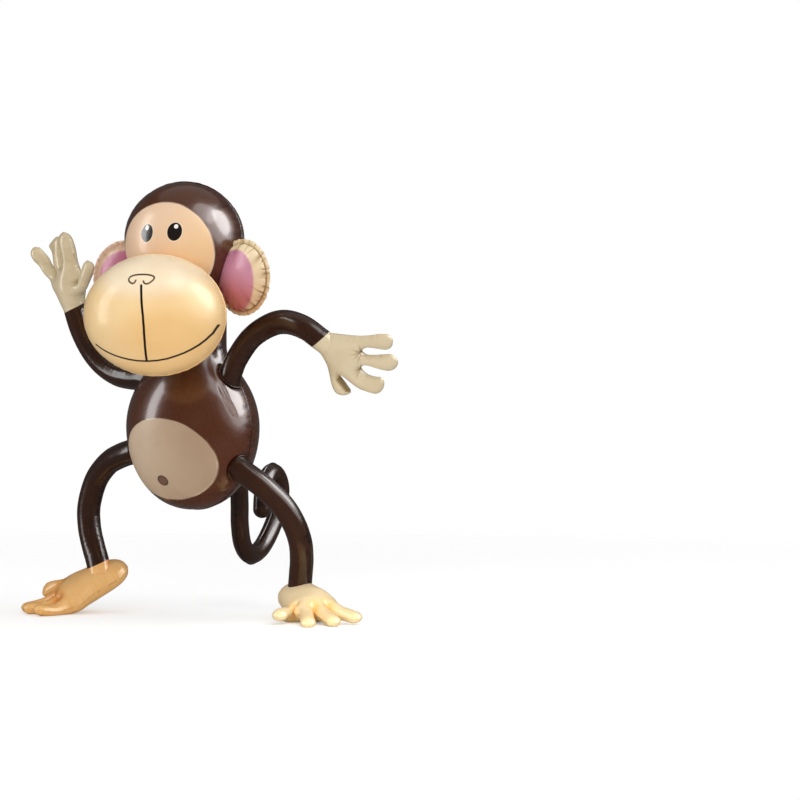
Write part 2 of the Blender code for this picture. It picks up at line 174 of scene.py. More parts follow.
def ring_quads(index: Array) -> Array:
    """Quads from each ring of point numbers to the next one, and from the last to the first."""
    ahead = np.roll(index, -1, axis=1)
    return np.stack([index, ahead, np.roll(ahead, -1, axis=0), np.roll(index, -1, axis=0)], axis=-1)


def ring_shell(rings: Array, first: Array, last: Array, values: dict[str, Array]) -> Shell:
    """Close a stack of rings with a fan at each end.

    Args:
        rings: Points as (ring, around, 3).
        first: Pole before the first ring.
        last: Pole after the last ring.
        values: Values as (ring, around, ...) per name. A pole takes the mean of its ring.

    Returns:
        The closed shell.
    """
    count, around, _ = rings.shape
    index = np.arange(count * around).reshape(count, around)
    ahead = np.roll(index, -1, axis=1)
    quads = ring_quads(index)[:-1].reshape(-1, 4)
    low, high = count * around, count * around + 1
    fan_low = np.stack([np.full(around, low), ahead[0], index[0]], axis=-1)
    fan_high = np.stack([np.full(around, high), index[-1], ahead[-1]], axis=-1)
    points = np.vstack([rings.reshape(-1, 3), first, last])
    fields = {}
    for name, value in values.items():
        flat = value.reshape((count * around,) + value.shape[2:])
        ends = [value[0].mean(axis=0)[None], value[-1].mean(axis=0)[None]]
        fields[name] = np.concatenate([flat] + ends)
    return Shell(points, quads, np.vstack([fan_low, fan_high]), fields).outward()


def grid_normals(rings: Array, centres: Array) -> Array:
    """Unit normals of a stack of closed rings, pointing away from the given centres.

    The normal is the cross product of the difference along the stack and the difference around it.

    Args:
        rings: Points as (ring, around, 3).
        centres: Middle points, broadcast against the rings.

    Returns:
        Normals as (ring, around, 3).
    """
    along = np.gradient(rings, axis=0)
    around = np.roll(rings, -1, axis=1) - np.roll(rings, 1, axis=1)
    normal = np.cross(along, around)
    normal /= np.maximum(np.linalg.norm(normal, axis=-1, keepdims=True), 1e-12)
    if np.einsum("ijk,ijk->", normal, rings - centres) < 0:
        normal = -normal
    return normal


def packed_turns(count: int, places: tuple[float, ...], width: float, gain: float) -> Array:
    """Angles round a ring that stand closer together near some places.

    The angles invert the running sum of a density of one plus a bell at each place.

    Args:
        count: Number of angles.
        places: Angles where they stand closest.
        width: Half width of each bell, in radians.
        gain: Height of each bell above the even density.

    Returns:
        The angles, from 0 to just under a full turn.
    """
    fine = np.linspace(0.0, 2 * math.pi, 4001)
    density = np.ones_like(fine)
    for place in places:
        density += gain / (1.0 + (turn_gap(fine, place) / width) ** 2)
    total = np.concatenate([[0.0], np.cumsum(0.5 * (density[1:] + density[:-1]))])
    return np.interp(np.arange(count) / count * total[-1], total, fine)


def wander(place: Array, length: float, waves: tuple[int, int], seed: int) -> Array:
    """Smooth closed wandering value along a seam: a sum of sines with random phases.

    Args:
        place: Length along the seam.
        length: Whole length of the seam.
        waves: Lowest and highest number of waves along the seam.
        seed: Seed of the phases and heights.

    Returns:
        Values of about -1 to 1.
    """
    rng = np.random.default_rng(seed)
    total = np.zeros_like(place)
    numbers = rng.integers(waves[0], waves[1] + 1, 9)
    for number, phase, height in zip(numbers, rng.uniform(0, 2 * math.pi, 9), rng.uniform(0.4, 1.0, 9)):
        total += height * np.sin(2 * math.pi * number * place / length + phase)
    return total / 2.6


@dataclass(frozen=True)
class Puckers:
    """Small folds that run inward from a weld, with the film standing up between them.

    Attributes:
        spacing: Mean distance between folds along the weld.
        depth: Largest depth of a fold.
        width: Half width of a fold at the weld.
        reach: How far a fold runs in from the weld.
        seed: Seed of the folds' places, depths and leans.
        bulge: How far the film stands up between two folds.
        fold_shade: How much painted shade darkens the folds.
    """

    spacing: float
    depth: float
    width: float
    reach: float
    seed: int
    bulge: float = 0.0
    fold_shade: float = 1.0

    def relief(self, place: Array, inset: Array, length: float) -> tuple[Array, Array]:
        """Height of the folds, and how deep in a fold each point lies.

        A fold is a bell across its leaning line that fades with the distance from the weld. Between
        two folds the film stands up as the root of a parabola.

        Args:
            place: Length along the weld at each point.
            inset: Distance from the weld at each point.
            length: Whole length of the closed weld.

        Returns:
            Height along the surface normal, below zero in a fold, and marks from 0 to 1 for the painted shade
            in the folds.
        """
        rng = np.random.default_rng(self.seed)
        count = max(3, round(length / self.spacing))
        at = (np.arange(count) + rng.uniform(-0.30, 0.30, count)) * length / count
        deep = rng.uniform(0.3, 1.0, count) ** 1.2
        far = self.reach * rng.uniform(0.45, 1.2, count)
        lean = rng.uniform(-0.3, 0.3, count)
        total = np.zeros(np.broadcast(place, inset).shape)
        mark = np.zeros_like(total)
        for c, d, r, slant in zip(at, deep, far, lean):
            gap = np.abs(place - c - slant * inset) % length
            gap = np.minimum(gap, length - gap)
            half = self.width * (0.75 + 1.2 * inset / r)
            fade = d * np.exp(-(inset / r) ** 1.6)
            bell = np.exp(-(gap / half) ** 2) * fade
            total += self.depth * (0.35 * np.exp(-(gap / (2.6 * half)) ** 2) * fade - bell)
            # Painted shade: the mark darkens the film in each fold.
            mark = np.maximum(mark, self.fold_shade * bell)
        if self.bulge > 0:
            knots = np.concatenate([at[-1:] - length, at, at[:1] + length])
            t = np.interp(place, knots, np.arange(count + 2)) % 1.0
            total += self.bulge * (np.sqrt(4 * t * (1 - t)) - 0.5) * np.exp(-(inset / self.reach) ** 1.6)
        return total, mark


def gathered(folds: tuple[Puckers, ...], place: Array, inset: Array, length: float) -> tuple[Array, Array]:
    """Sum of the heights of several sets of folds along one weld, and their largest marks."""
    pairs = [one.relief(place, inset, length) for one in folds]
    return sum(height for height, _ in pairs), np.maximum.reduce([mark for _, mark in pairs])


def rounded(a: Array, b: Array, c: Array, d: Array, t: Array) -> Array:
    """Cubic from b to c whose slopes at both are half the difference of their neighbours."""
    return 0.5 * (2 * b + (c - a) * t + (2 * a - 5 * b + 4 * c - d) * t ** 2
                  + (3 * b - a - 3 * c + d) * t ** 3)


def smooth_path(points: tuple[Triple, ...], spacing: float) -> tuple[Array, Array]:
    """Rounded curve through given points at even steps.

    Args:
        points: Points that the curve passes.
        spacing: Distance between the points given back.

    Returns:
        Points on the curve and their lengths along it.
    """
    p = np.array(points, dtype=float)
    p = np.vstack([2 * p[0] - p[1], p, 2 * p[-1] - p[-2]])
    t = np.linspace(0.0, 1.0, 80, endpoint=False)[None, :, None]
    spans = rounded(*(p[k:len(p) - 3 + k, None, :] for k in range(4)), t)
    dense = np.vstack([spans.reshape(-1, 3), p[-2]])
    length = np.concatenate([[0.0], np.cumsum(np.linalg.norm(np.diff(dense, axis=0), axis=1))])
    at = np.linspace(0.0, length[-1], max(8, round(length[-1] / spacing) + 1))
    return np.stack([np.interp(at, length, dense[:, k]) for k in range(3)], axis=1), at


def turned(points: Array, yaw: float) -> Array:
    """Points turned about the vertical by an angle in radians."""
    c, s = math.cos(yaw), math.sin(yaw)
    return points @ np.array(((c, s, 0.0), (-s, c, 0.0), (0.0, 0.0, 1.0)))


def placed(name: str, data: bpy.types.ID) -> bpy.types.Object:
    """New object of the given data, in the scene."""
    made = bpy.data.objects.new(name, data)
    bpy.context.scene.collection.objects.link(made)
    return made


class Bench:
    """Places and joins the nodes of one node tree."""

    def __init__(self, tree: bpy.types.NodeTree) -> None:
        """Start on an empty tree."""
        self.tree = tree
        self.tree.nodes.clear()
        self.count = 0

    def node(self, kind: str, inputs: dict | tuple = (), **settings: object) -> bpy.types.Node:
        """Add a node.

        Args:
            kind: Blender's name of the node type.
            inputs: Sockets or plain values for its inputs, by name or number, or in their order.
            **settings: Properties to set on it.

        Returns:
            The new node.
        """
        made = self.tree.nodes.new(kind)
        for name, value in settings.items():
            setattr(made, name, value)
        made.location = (220.0 * (self.count // 6), -260.0 * (self.count % 6))
        self.count += 1
        pairs = inputs.items() if isinstance(inputs, dict) else enumerate(inputs)
        for key, value in pairs:
            self.feed(made.inputs[key], value)
        return made

    def feed(self, socket: bpy.types.NodeSocket, value: object) -> None:
        """Link a socket to another one, or set its plain value."""
        if isinstance(value, bpy.types.NodeSocket):
            self.tree.links.new(value, socket)
        else:
            socket.default_value = value

    def math(self, operation: str, *numbers: object) -> bpy.types.NodeSocket:
        """Result of one arithmetic step on numbers or sockets."""
        return self.node("ShaderNodeMath", numbers, operation=operation).outputs[0]

    def mix(self, share: object, low: object, high: object) -> bpy.types.NodeSocket:
        """Colour that goes from low to high as the share goes from 0 to 1."""
        return self.node("ShaderNodeMix", {0: share, 6: low, 7: high}, data_type="RGBA").outputs[2]

    def soft(self, value: object, low: float, high: float, start: float = 0.0,
             end: float = 1.0) -> bpy.types.NodeSocket:
        """Smooth change from start to end as a value passes from low to high."""
        inputs = (value, low, high, start, end)
        return self.node("ShaderNodeMapRange", inputs, interpolation_type="SMOOTHSTEP").outputs[0]


FLOAT, VECTOR, COLOUR = "NodeSocketFloat", "NodeSocketVector", "NodeSocketColor"


def new_group(name: str, inputs: dict[str, str], outputs: dict[str, str]) -> tuple[Bench, dict, object]:
    """Start a shader group with named sockets.

    Args:
        name: Name of the group.
        inputs: Socket type by input name.
        outputs: Socket type by output name.

    Returns:
        A bench for its nodes, what it is given, by name, and the sockets of its results.
    """
    tree = bpy.data.node_groups.new(name, "ShaderNodeTree")
    for way, sockets in (("INPUT", inputs), ("OUTPUT", outputs)):
        for label, kind in sockets.items():
            tree.interface.new_socket(label, in_out=way, socket_type=kind)
    bench = Bench(tree)
    given = bench.node("NodeGroupInput").outputs
    return bench, {label: given[label] for label in inputs}, bench.node("NodeGroupOutput").inputs


def film_group() -> bpy.types.NodeTree:
    """Group for the vinyl film: uneven tone, faint waves and grain, uneven gloss, and painted shade in
    the folds and on the welds' dark seam lines.

    The painted shade takes the film's colour to a higher power, which darkens it and makes it richer,
    and mixes it toward black.
    """
    bench, given, out = new_group("film", {"Place": VECTOR, "Colour": COLOUR, "Shade": COLOUR, "Gloss": FLOAT,
                                           "Wave": FLOAT, "Fold": FLOAT, "Soot": FLOAT},
                                  {"Colour": COLOUR, "Roughness": FLOAT, "Height": FLOAT})

    def noise(scale: float, detail: float) -> bpy.types.NodeSocket:
        """Noise at a scale per metre."""
        inputs = {"Vector": given["Place"], "Scale": scale, "Detail": detail}
        return bench.node("ShaderNodeTexNoise", inputs).outputs["Fac"]

    broad, patch, fine = noise(11.0, 2.0), noise(42.0, 2.0), noise(1500.0, 1.0)
    both = bench.math("ADD", bench.math("MULTIPLY", broad, 0.7), bench.math("MULTIPLY", patch, 0.3))
    film = bench.mix(bench.soft(both, 0.36, 0.66), given["Colour"], given["Shade"])
    # Painted shade: the fold marks darken the colour in folds and creases; on the welds' seam lines they are
    # a dark seam.
    power = bench.math("MULTIPLY_ADD", given["Fold"], 1.1, 1.0)
    rich = bench.node("ShaderNodeGamma", {"Color": film, "Gamma": power}).outputs[0]
    dark = bench.math("MULTIPLY", given["Fold"], given["Soot"])
    bench.feed(out["Colour"], bench.mix(dark, rich, (0.0, 0.0, 0.0, 1.0)))
    rough = bench.math("MULTIPLY_ADD", patch, 0.10, bench.math("SUBTRACT", given["Gloss"], 0.05))
    bench.feed(out["Roughness"], bench.math("MULTIPLY_ADD", fine, 0.04, rough))
    waves = bench.math("ADD", broad, bench.math("MULTIPLY", patch, 0.22))
    waves = bench.math("MULTIPLY", waves, given["Wave"])
    bench.feed(out["Height"], bench.math("MULTIPLY_ADD", fine, 0.000006, waves))
    return bench.tree


def segment_group() -> bpy.types.NodeTree:
    """Group that gives the distance from a straight piece of a printed line.

    The point is dropped onto the line, kept between the ends, and the rest is the distance.
    """
    inputs = dict.fromkeys(("At", "Start", "Way", "Share"), VECTOR)
    bench, given, out = new_group("line piece", inputs, {"Gap": FLOAT})

    def vector(operation: str, *inputs: object) -> bpy.types.NodeOutputs:
        """Results of a step on vectors."""
        return bench.node("ShaderNodeVectorMath", inputs, operation=operation).outputs

    off = vector("SUBTRACT", given["At"], given["Start"])[0]
    share = vector("DOT_PRODUCT", off, given["Share"])["Value"]
    kept = bench.math("MINIMUM", bench.math("MAXIMUM", share, 0.0), 1.0)
    scaled = bench.node("ShaderNodeVectorMath", {0: given["Way"], 3: kept}, operation="SCALE")
    bench.feed(out["Gap"], vector("DISTANCE", off, scaled.outputs[0])["Value"])
    return bench.tree


@dataclass(frozen=True)
class Oval:
    """Printed oval on a chamber: its centre and half sizes in steps, and its lean in degrees."""

    centre: Pair
    half: Pair
    lean: float = 0.0


@dataclass(frozen=True)
class Stroke:
    """Printed line through points on a chamber, with its full width in steps."""

    points: tuple[Pair, ...]
    width: float


class PrintDesk(Bench):
    """Bench for a film material: it places printed shapes and the film's own finish."""

    def __init__(self, name: str, film: bpy.types.NodeTree, segment: bpy.types.NodeTree) -> None:
        """Start a material.

        Args:
            name: Name of the material.
            film: Shared film group.
            segment: Shared group for pieces of printed lines.
        """
        self.material = bpy.data.materials.new(name)
        self.material.use_nodes = True
        super().__init__(self.material.node_tree)
        self.film = film
        self.segment = segment
        local = self.node("ShaderNodeAttribute", attribute_name="print_at").outputs["Vector"]
        self.x, self.y, self.z = self.node("ShaderNodeSeparateXYZ", (local,)).outputs
        self.flat = self.node("ShaderNodeCombineXYZ", {0: self.x, 2: self.z}).outputs[0]
        self.front = self.soft(self.y, -0.4, 0.4, 1.0, 0.0)

    def oval(self, shape: Oval) -> bpy.types.NodeSocket:
        """Distance in steps from an oval's edge, below zero inside it."""
        inputs = {"Vector": self.flat, "Location": (shape.centre[0], 0.0, shape.centre[1]),
                  "Rotation": (0.0, math.radians(shape.lean), 0.0),
                  "Scale": (shape.half[0], 1.0, shape.half[1])}
        place = self.node("ShaderNodeMapping", inputs, vector_type="TEXTURE").outputs[0]
        size = self.node("ShaderNodeVectorMath", (place,), operation="LENGTH").outputs["Value"]
        mean = 0.5 * (shape.half[0] + shape.half[1])
        return self.math("MULTIPLY_ADD", size, mean, -mean)

    def filled(self, gap: bpy.types.NodeSocket, grow: float = 0.0,
               edge: float = 0.35) -> bpy.types.NodeSocket:
        """Mask inside a distance, on the front side alone, with a soft edge."""
        mask = self.soft(gap, grow - edge, grow + edge, 1.0, 0.0)
        return self.math("MULTIPLY", mask, self.front)

    def stroke(self, line: Stroke) -> bpy.types.NodeSocket:
        """Mask of a printed line: the least distance from its pieces, cut at half its width."""
        ends = np.array(line.points, dtype=float)
        gap = None
        for start, end in zip(ends, ends[1:]):
            way = end - start
            given = {"Start": start, "Way": way, "Share": way / float(way @ way)}
            inputs = {"At": self.flat} | {name: (x, 0.0, z) for name, (x, z) in given.items()}
            piece = self.node("ShaderNodeGroup", inputs, node_tree=self.segment).outputs[0]
            gap = piece if gap is None else self.math("MINIMUM", gap, piece)
        return self.filled(gap, 0.5 * line.width, 0.3)

    def finish(self, colour: object, shade: object, film: "Film", gloss: object = None,
               coat: object = None) -> bpy.types.Material:
        """Close the material with the film's finish.

        Args:
            colour: Main colour.
            shade: Colour of the film's deeper places.
            film: Film whose waves, folds, coat and shine are taken.
            gloss: Roughness where it changes over the surface, or None for the film's own.
            coat: Weight of the clear gloss where it changes, or None for the film's own.

        Returns:
            The material.
        """
        given = {"Place": self.node("ShaderNodeTexCoord").outputs["Object"], "Colour": colour, "Shade": shade,
                 "Fold": self.node("ShaderNodeAttribute", attribute_name="fold").outputs["Fac"],
                 "Gloss": film.gloss if gloss is None else gloss, "Wave": film.wave, "Soot": film.soot}
        made = self.node("ShaderNodeGroup", given, node_tree=self.film).outputs
        relief = {"Strength": 1.0, "Distance": 1.0, "Height": made["Height"]}
        inputs = {"Base Color": made["Colour"], "Roughness": made["Roughness"],
                  "Coat Weight": film.coat if coat is None else coat, "Coat Roughness": 0.12, "IOR": 1.5,
                  "Specular IOR Level": film.shine, "Normal": self.node("ShaderNodeBump", relief).outputs[0]}
        shader = self.node("ShaderNodeBsdfPrincipled", inputs).outputs[0]
        self.node("ShaderNodeOutputMaterial", {"Surface": shader})
        return self.material


def srgb(red: int, green: int, blue: int) -> Colour:
    """Linear colour from display values of 0 to 255."""
    value = np.array((red, green, blue)) / 255.0
    linear = np.where(value <= 0.04045, value / 12.92, ((value + 0.055) / 1.055) ** 2.4)
    return (float(linear[0]), float(linear[1]), float(linear[2]), 1.0)


@dataclass(frozen=True)
class Film:
    """Film finish.

    Attributes:
        colour: Main colour.
        shade: Colour of its deeper places.
        gloss: Roughness.
        wave: Height of its faint waves, in metres.
        coat: Weight of the clear gloss on top.
        shine: Level of its own reflection.
        soot: How black the painted shade turns its folds and seam lines.
    """

    colour: Colour
    shade: Colour
    gloss: float
    wave: float
    coat: float
    shine: float
    soot: float


BROWN_FILM = Film(srgb(81, 39, 13), srgb(77, 36, 11), 0.25, 0.0010, 0.75, 0.5, 0.55)
DARK_FILM = Film(srgb(53, 27, 12), srgb(45, 22, 10), 0.23, 0.0008, 0.45, 0.42, 0.55)
CREAM_FILM = Film(srgb(248, 214, 158), srgb(243, 204, 143), 0.33, 0.0012, 0.22, 0.30, 0.15)
HAND_FILM = Film(srgb(215, 197, 163), srgb(203, 184, 148), 0.30, 0.0010, 0.25, 0.5, 0.55)
FOOT_FILM = Film(srgb(255, 231, 186), srgb(253, 220, 163), 0.30, 0.0010, 0.25, 0.5, 0.05)
# The right foot's film, deeper than FOOT_FILM as painted shade; the right leg's end takes it too.
SHADED_FOOT_FILM = Film(srgb(234, 184, 117), srgb(228, 169, 95), 0.30, 0.0010, 0.25, 0.5, 0.05)
EAR_FILM = Film(srgb(250, 229, 190), srgb(226, 190, 144), 0.30, 0.0010, 0.2, 0.5, 0.75)
EYE_RIM, EYE_INK, EYE_GLINT = srgb(246, 222, 190), srgb(26, 16, 14), srgb(250, 248, 244)


class Workshop:
    """Shared groups, materials and the last steps of each piece."""

    def __init__(self, layout: Layout) -> None:
        """Make the shared groups.

        Args:
            layout: Grid that the figure is laid out on.
        """
        self.layout = layout
        self.film = film_group()
        self.segment = segment_group()
        self.shared: dict[str, bpy.types.Material] = {}

    def desk(self, name: str) -> PrintDesk:
        """Bench for one more film material."""
        return PrintDesk(name, self.film, self.segment)

    def plain(self, name: str, film: Film) -> bpy.types.Material:
        """Film material without prints, made once per name."""
        if name not in self.shared:
            desk = self.desk(name)
            self.shared[name] = desk.finish(film.colour, film.shade, film)
        return self.shared[name]

    def piece(self, name: str, shell: Shell, node: str, slot: Slot,
              material: bpy.types.Material) -> None:
        """Make a piece of a shell and let it stand for a CAD node.

        Args:
            name: Name of the piece.
            shell: Its surface in steps.
            node: CAD node that it replaces.
            slot: Material slot of the record; not used.
            material: Its finish.
        """
        mesh = bpy.data.meshes.new(name)
        faces = shell.quads.tolist() + shell.tris.tolist()
        mesh.from_pydata(self.layout.room(shell.points).tolist(), [], faces)
        for label, value in shell.fields.items():
            kind, key = ("FLOAT_VECTOR", "vector") if value.ndim == 2 else ("FLOAT", "value")
            made = mesh.attributes.new(label, kind, "POINT")
            made.data.foreach_set(key, np.ascontiguousarray(value, dtype=np.float32).ravel())
        mesh.materials.append(material)
        mesh.shade_smooth()
        mesh.validate()
        mesh.update()
        made = placed(name, mesh)
        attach(made, "root")
        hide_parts(node)
        LOG.info("%s: %d points, %d faces", name, len(shell.points), len(faces))


RIM_PROFILE = ((0.3, -1.0), (0.65, -0.85), (0.93, -0.7), (1.0, 0.0), (0.93, 0.7), (0.65, 0.85), (0.3, 1.0))


@dataclass(frozen=True)
class Pillow:
    """Round chamber of a front and a back panel, welded along an upright oval.

    Attributes:
        half_width: Half width of the weld.
        up: Height of the weld above the centre.
        down: Depth of the weld below the centre.
        front: Depth of the front dome.
        back: Depth of the back dome.
        yaw: Turn about the vertical, in radians.
        centre: Place of the centre.
        flange: Width of the weld's edge.
        flange_wave: How far the edge wanders in and out.
        ripple: How far the edge waves forward and back.
        puckers: Folds that run in from the weld.
        around: Points round the weld.
        rows: Rows on each dome.
        line: Darkness of the weld's line, from 0 to 1.
        thin: Half thickness of the weld's edge.
    """

    half_width: float
    up: float
    down: float
    front: float
    back: float
    yaw: float
    centre: Triple
    flange: float
    flange_wave: float
    ripple: float
    puckers: tuple[Puckers, ...]
    around: int = 420
    rows: int = 58
    line: float = 0.3
    thin: float = 0.32

    def shell(self) -> Shell:
        """Surface of the chamber.

        With a turn round the weld and a part from the front pole to the weld, a point stands at the
        weld's oval times the sine of the part, and as far forward as the dome's depth times the
        cosine of the part. Beyond the weld a thin edge runs outward. Folds lower the domes.

        Returns:
            The closed shell with its local coordinates as a field.
        """
        turn = np.linspace(0.0, 2 * math.pi, self.around, endpoint=False)
        share = np.linspace(0.0, 1.0, self.rows + 1)[1:]
        part = 0.5 * math.pi * (0.72 * share + 0.28 * (1 - (1 - share) ** 2.2))
        oval = np.stack([self.half_width * np.cos(turn), np.zeros_like(turn),
                         np.where(np.sin(turn) >= 0, self.up, self.down) * np.sin(turn)], axis=-1)
        place, span = closed_lengths(oval)
        length = float(span.sum())
        domes, marks = [], []
        for sign, depth in ((-1.0, self.front), (1.0, self.back)):
            wide = np.sin(part)[:, None, None] * oval[None]
            deep = depth * np.cos(part) + self.thin
            dome = wide + np.array((0.0, sign, 0.0)) * deep[:, None, None]
            normal = grid_normals(dome, np.zeros(3))
            size = np.linalg.norm(oval, axis=1)[None, :]
            inset = size * (0.5 * math.pi - part)[:, None] * np.where(depth < 20, 0.9, 1.0)
            relief, mark = gathered(self.puckers, place[None, :], inset, length)
            edge = np.clip(inset / 2.5, 0.0, 1.0)
            domes.append(dome + normal * (relief * (0.25 + 0.75 * edge))[..., None])
            marks.append(np.maximum(mark, self.line * np.exp(-(inset / 0.8) ** 2)))
        outward = unit(oval)
        seed = self.puckers[0].seed
        reach = self.flange * (1.0 + self.flange_wave * wander(place, length, (14, 46), seed + 5))
        wave = self.ripple * wander(place, length, (16, 40), seed + 6)
        rim, rim_marks = [], []
        crossing = gathered(self.puckers, place, np.zeros_like(place), length)[1]
        for far, off in RIM_PROFILE:
            row = oval + outward * (reach * far)[:, None]
            row = row + np.array((0.0, 1.0, 0.0)) * (off * self.thin + wave * far)[:, None]
            rim.append(row[None])
            dark = np.maximum(crossing, self.line * max(0.0, 1.0 - 2.0 * far))
            rim_marks.append(dark[None] * (1.0 - 0.5 * far))
        rings = np.concatenate([domes[0]] + rim + [domes[1][::-1]])
        mark = np.concatenate([marks[0]] + rim_marks + [marks[1][::-1]])
        local = ring_shell(rings, np.array((0.0, -self.front - self.thin, 0.0)),
                           np.array((0.0, self.back + self.thin, 0.0)), {"fold": mark})
        local.fields["print_at"] = local.points.copy()
        local.points = turned(local.points, self.yaw) + np.array(self.centre)
        return local


@dataclass(frozen=True)
class Pear:
    """Shape of the torso: oval rings whose width follows a pear that ends in a neck.

    Attributes:
        width: Largest width.
        depth: Largest depth.
        forward: How far the middle lies before the grid's origin.
        bottom: Height of the lowest place.
        belly: Height of the widest place.
        shoulder: Height where the shoulders' width is given.
        top: Height of the neck's end.
        shoulder_share: Width there as a share of the largest.
        neck: Width of the neck.
        rounding: Height of the neck's rounded end.
        low_power: Power of the sine below the belly.
        high_power: Power of the height above it.
        softness: How softly the pear's line goes over into the neck's.
        merge: Height of the change to the neck as a share of the shoulders' height.
        speed: How fast that change goes.
    """

    width: float = 138.0
    depth: float = 116.0
    forward: float = 4.0
    bottom: float = 108.0
    belly: float = 190.0
    shoulder: float = 250.0
    top: float = 326.0
    shoulder_share: float = 0.68
    neck: float = 70.0
    rounding: float = 24.0
    low_power: float = 0.93
    high_power: float = 1.9
    softness: float = 2.5
    merge: float = 1.08
    speed: float = 17.0

    def radius(self, height: Array) -> Array:
        """Half width at a height.

        Below the belly it is a power of the sine of the angle whose cosine falls with the height.
        Above the belly it narrows with a power of the height and blends into the neck, whose end
        is a quarter of an oval.

        Args:
            height: Heights in steps.

        Returns:
            Half widths in steps, 0 below the bottom.
        """
        half = 0.5 * self.width
        below = np.clip((self.belly - height) / (self.belly - self.bottom), 0.0, 1.0)
        low = half * np.sin(np.arccos(below)) ** self.low_power
        t = np.clip((height - self.belly) / (self.top - self.belly), 0.0, 1.0)
        s = (self.shoulder - self.belly) / (self.top - self.belly)
        bell = half - (half - self.shoulder_share * half) * (t / s) ** self.high_power
        neck = 0.5 * self.neck
        eased = neck + np.logaddexp(0.0, (bell - neck) / self.softness) * self.softness
        blend = 1.0 / (1.0 + np.exp(-(t - self.merge * s) * self.speed))
        high = np.where(bell > neck + 12, bell, eased) * (1 - blend) + neck * blend
        end = np.clip((height - self.top + self.rounding) / self.rounding, 0.0, 1.0)
        return np.where(height < self.belly, low, high * np.sqrt(1.0 - end ** 2))

    def outside(self, points: Array) -> Array:
        """Signed reach of points beyond the torso's rings, above zero outside."""
        across = np.hypot(points[..., 0], (points[..., 1] + self.forward) * self.width / self.depth)
        return across - self.radius(points[..., 2])


def line_gap(points: Array, line: Array) -> Array:
    """Distance of rings of points from the nearest of a line's points."""
    return np.min(np.linalg.norm(points[:, :, None, :] - line[None, None], axis=-1), axis=2)


@dataclass(frozen=True)
class Torso:
    """Torso chamber with its two side welds, puckers, dents and the creases round the limbs.

    Attributes:
        shape: Pear that it follows.
        rows: Rows from the bottom to the neck.
        around: Points round each row.
        shares: Shares of the rows up to the belly and up to the neck's rounded end.
        seam_height: Height of the weld's ridge.
        seam_width: Half width of that ridge.
        puckers: Folds that run in from the welds.
        dents: Lines of points that a shallow fold follows.
        roots: Middle lines and radii of the tubes that leave it.
    """

    shape: Pear = Pear()
    rows: int = 220
    around: int = 320
    shares: Pair = (0.44, 0.90)
    seam_height: float = 0.8
    seam_width: float = 0.40
    puckers: tuple[Puckers, ...] = (Puckers(8.5, 0.30, 1.1, 9.0, 41, 0.0, 0.6),
                                    Puckers(23.0, 0.35, 2.0, 18.0, 42, 0.0, 0.4))
    dents: tuple[tuple[Triple, ...], ...] = (
        ((47.0, -30.0, 238.0), (52.0, -29.5, 226.0), (57.0, -28.0, 215.0), (61.0, -25.0, 205.0)),)
    roots: tuple[tuple[tuple[Triple, ...], float], ...] = ()

    def shell(self) -> Shell:
        """Surface of the torso: oval rings from the bottom pole to the neck, a thin ridge at each
        side weld, folds that run in from the welds, long dents, and a dimple round each tube with
        painted shade in it."""
        pear = self.shape
        t = np.linspace(0.0, 1.0, self.rows + 1)[1:]
        at_belly, at_neck = self.shares
        start = pear.top - pear.rounding
        quarter = 0.5 * math.pi
        lower = pear.belly - (pear.belly - pear.bottom) * np.cos(quarter * np.clip(t / at_belly, 0.0, 1.0))
        upper = pear.belly + (start - pear.belly) * np.clip((t - at_belly) / (at_neck - at_belly), 0.0, 1.0)
        end = start + pear.rounding * np.sin(quarter * np.clip((t - at_neck) / (1.0 - at_neck), 0.0, 0.985))
        height = np.where(t < at_belly, lower, np.where(t < at_neck, upper, end))
        radius = pear.radius(height)
        turn = packed_turns(self.around, (0.0, math.pi, 2 * math.pi), 0.035, 9.0)
        flat = pear.depth / pear.width
        rings = np.stack([radius[:, None] * np.cos(turn),
                          radius[:, None] * flat * np.sin(turn) - pear.forward,
                          np.repeat(height[:, None], self.around, axis=1)], axis=-1)
        normal = grid_normals(rings, np.array((0.0, -pear.forward, 200.0)))
        length = np.concatenate([[0.0], np.cumsum(np.hypot(np.diff(radius), np.diff(height)))]) + radius[0]
        relief, marks = np.zeros((2,) + rings.shape[:2])
        near = (radius / (radius + 5.0))[:, None]
        for number, middle in enumerate((0.0, math.pi)):
            gap = turn_gap(turn, middle)[None, :] * radius[:, None] * flat
            relief += near * self.seam_height * np.exp(-(gap / self.seam_width) ** 2)
            marks = np.maximum(marks, 0.7 * near * np.exp(-((gap - 0.9) / 0.45) ** 2))
            sets = tuple(replace(folds, seed=folds.seed + 10 * number) for folds in self.puckers)
            place = length[:, None] + 400.0 * (np.sin(turn)[None, :] > 0)
            height_of, mark = gathered(sets, place, gap, 800.0)
            relief += near * height_of * np.clip(gap / 1.5, 0.2, 1.0)
            marks = np.maximum(marks, 0.6 * near * mark)
        for dent in self.dents:
            gap = line_gap(rings, smooth_path(dent, 3.0)[0])
            relief -= 0.8 * np.exp(-(gap / 2.4) ** 2) - 0.3 * np.exp(-(gap / 7.0) ** 2)
        for path, thick in self.roots:
            gap = line_gap(rings, smooth_path(path[:4], 2.5)[0]) - thick
            off = np.maximum(gap, 0.0)
            relief += 0.12 * np.exp(-((gap - 6.0) / 2.6) ** 2) - 0.6 * np.exp(-(off / 2.2) ** 2)
            # Painted shade: the torso darkens close round each tube.
            marks = np.maximum(marks, np.exp(-(off / 1.5) ** 2))
        local = ring_shell(rings + normal * relief[..., None], np.array((0.0, -pear.forward, pear.bottom)),
                           np.array((0.0, -pear.forward, pear.top)), {"fold": marks})
        local.fields["print_at"] = local.points + np.array((0.0, pear.forward, 0.0))
        return local


def spokes(side: Array, other: Array, turn: Array) -> Array:
    """Directions round a line: one ring of turned directions at each of its points."""
    return side[:, None, :] * np.cos(turn)[None, :, None] + other[:, None, :] * np.sin(turn)[None, :, None]


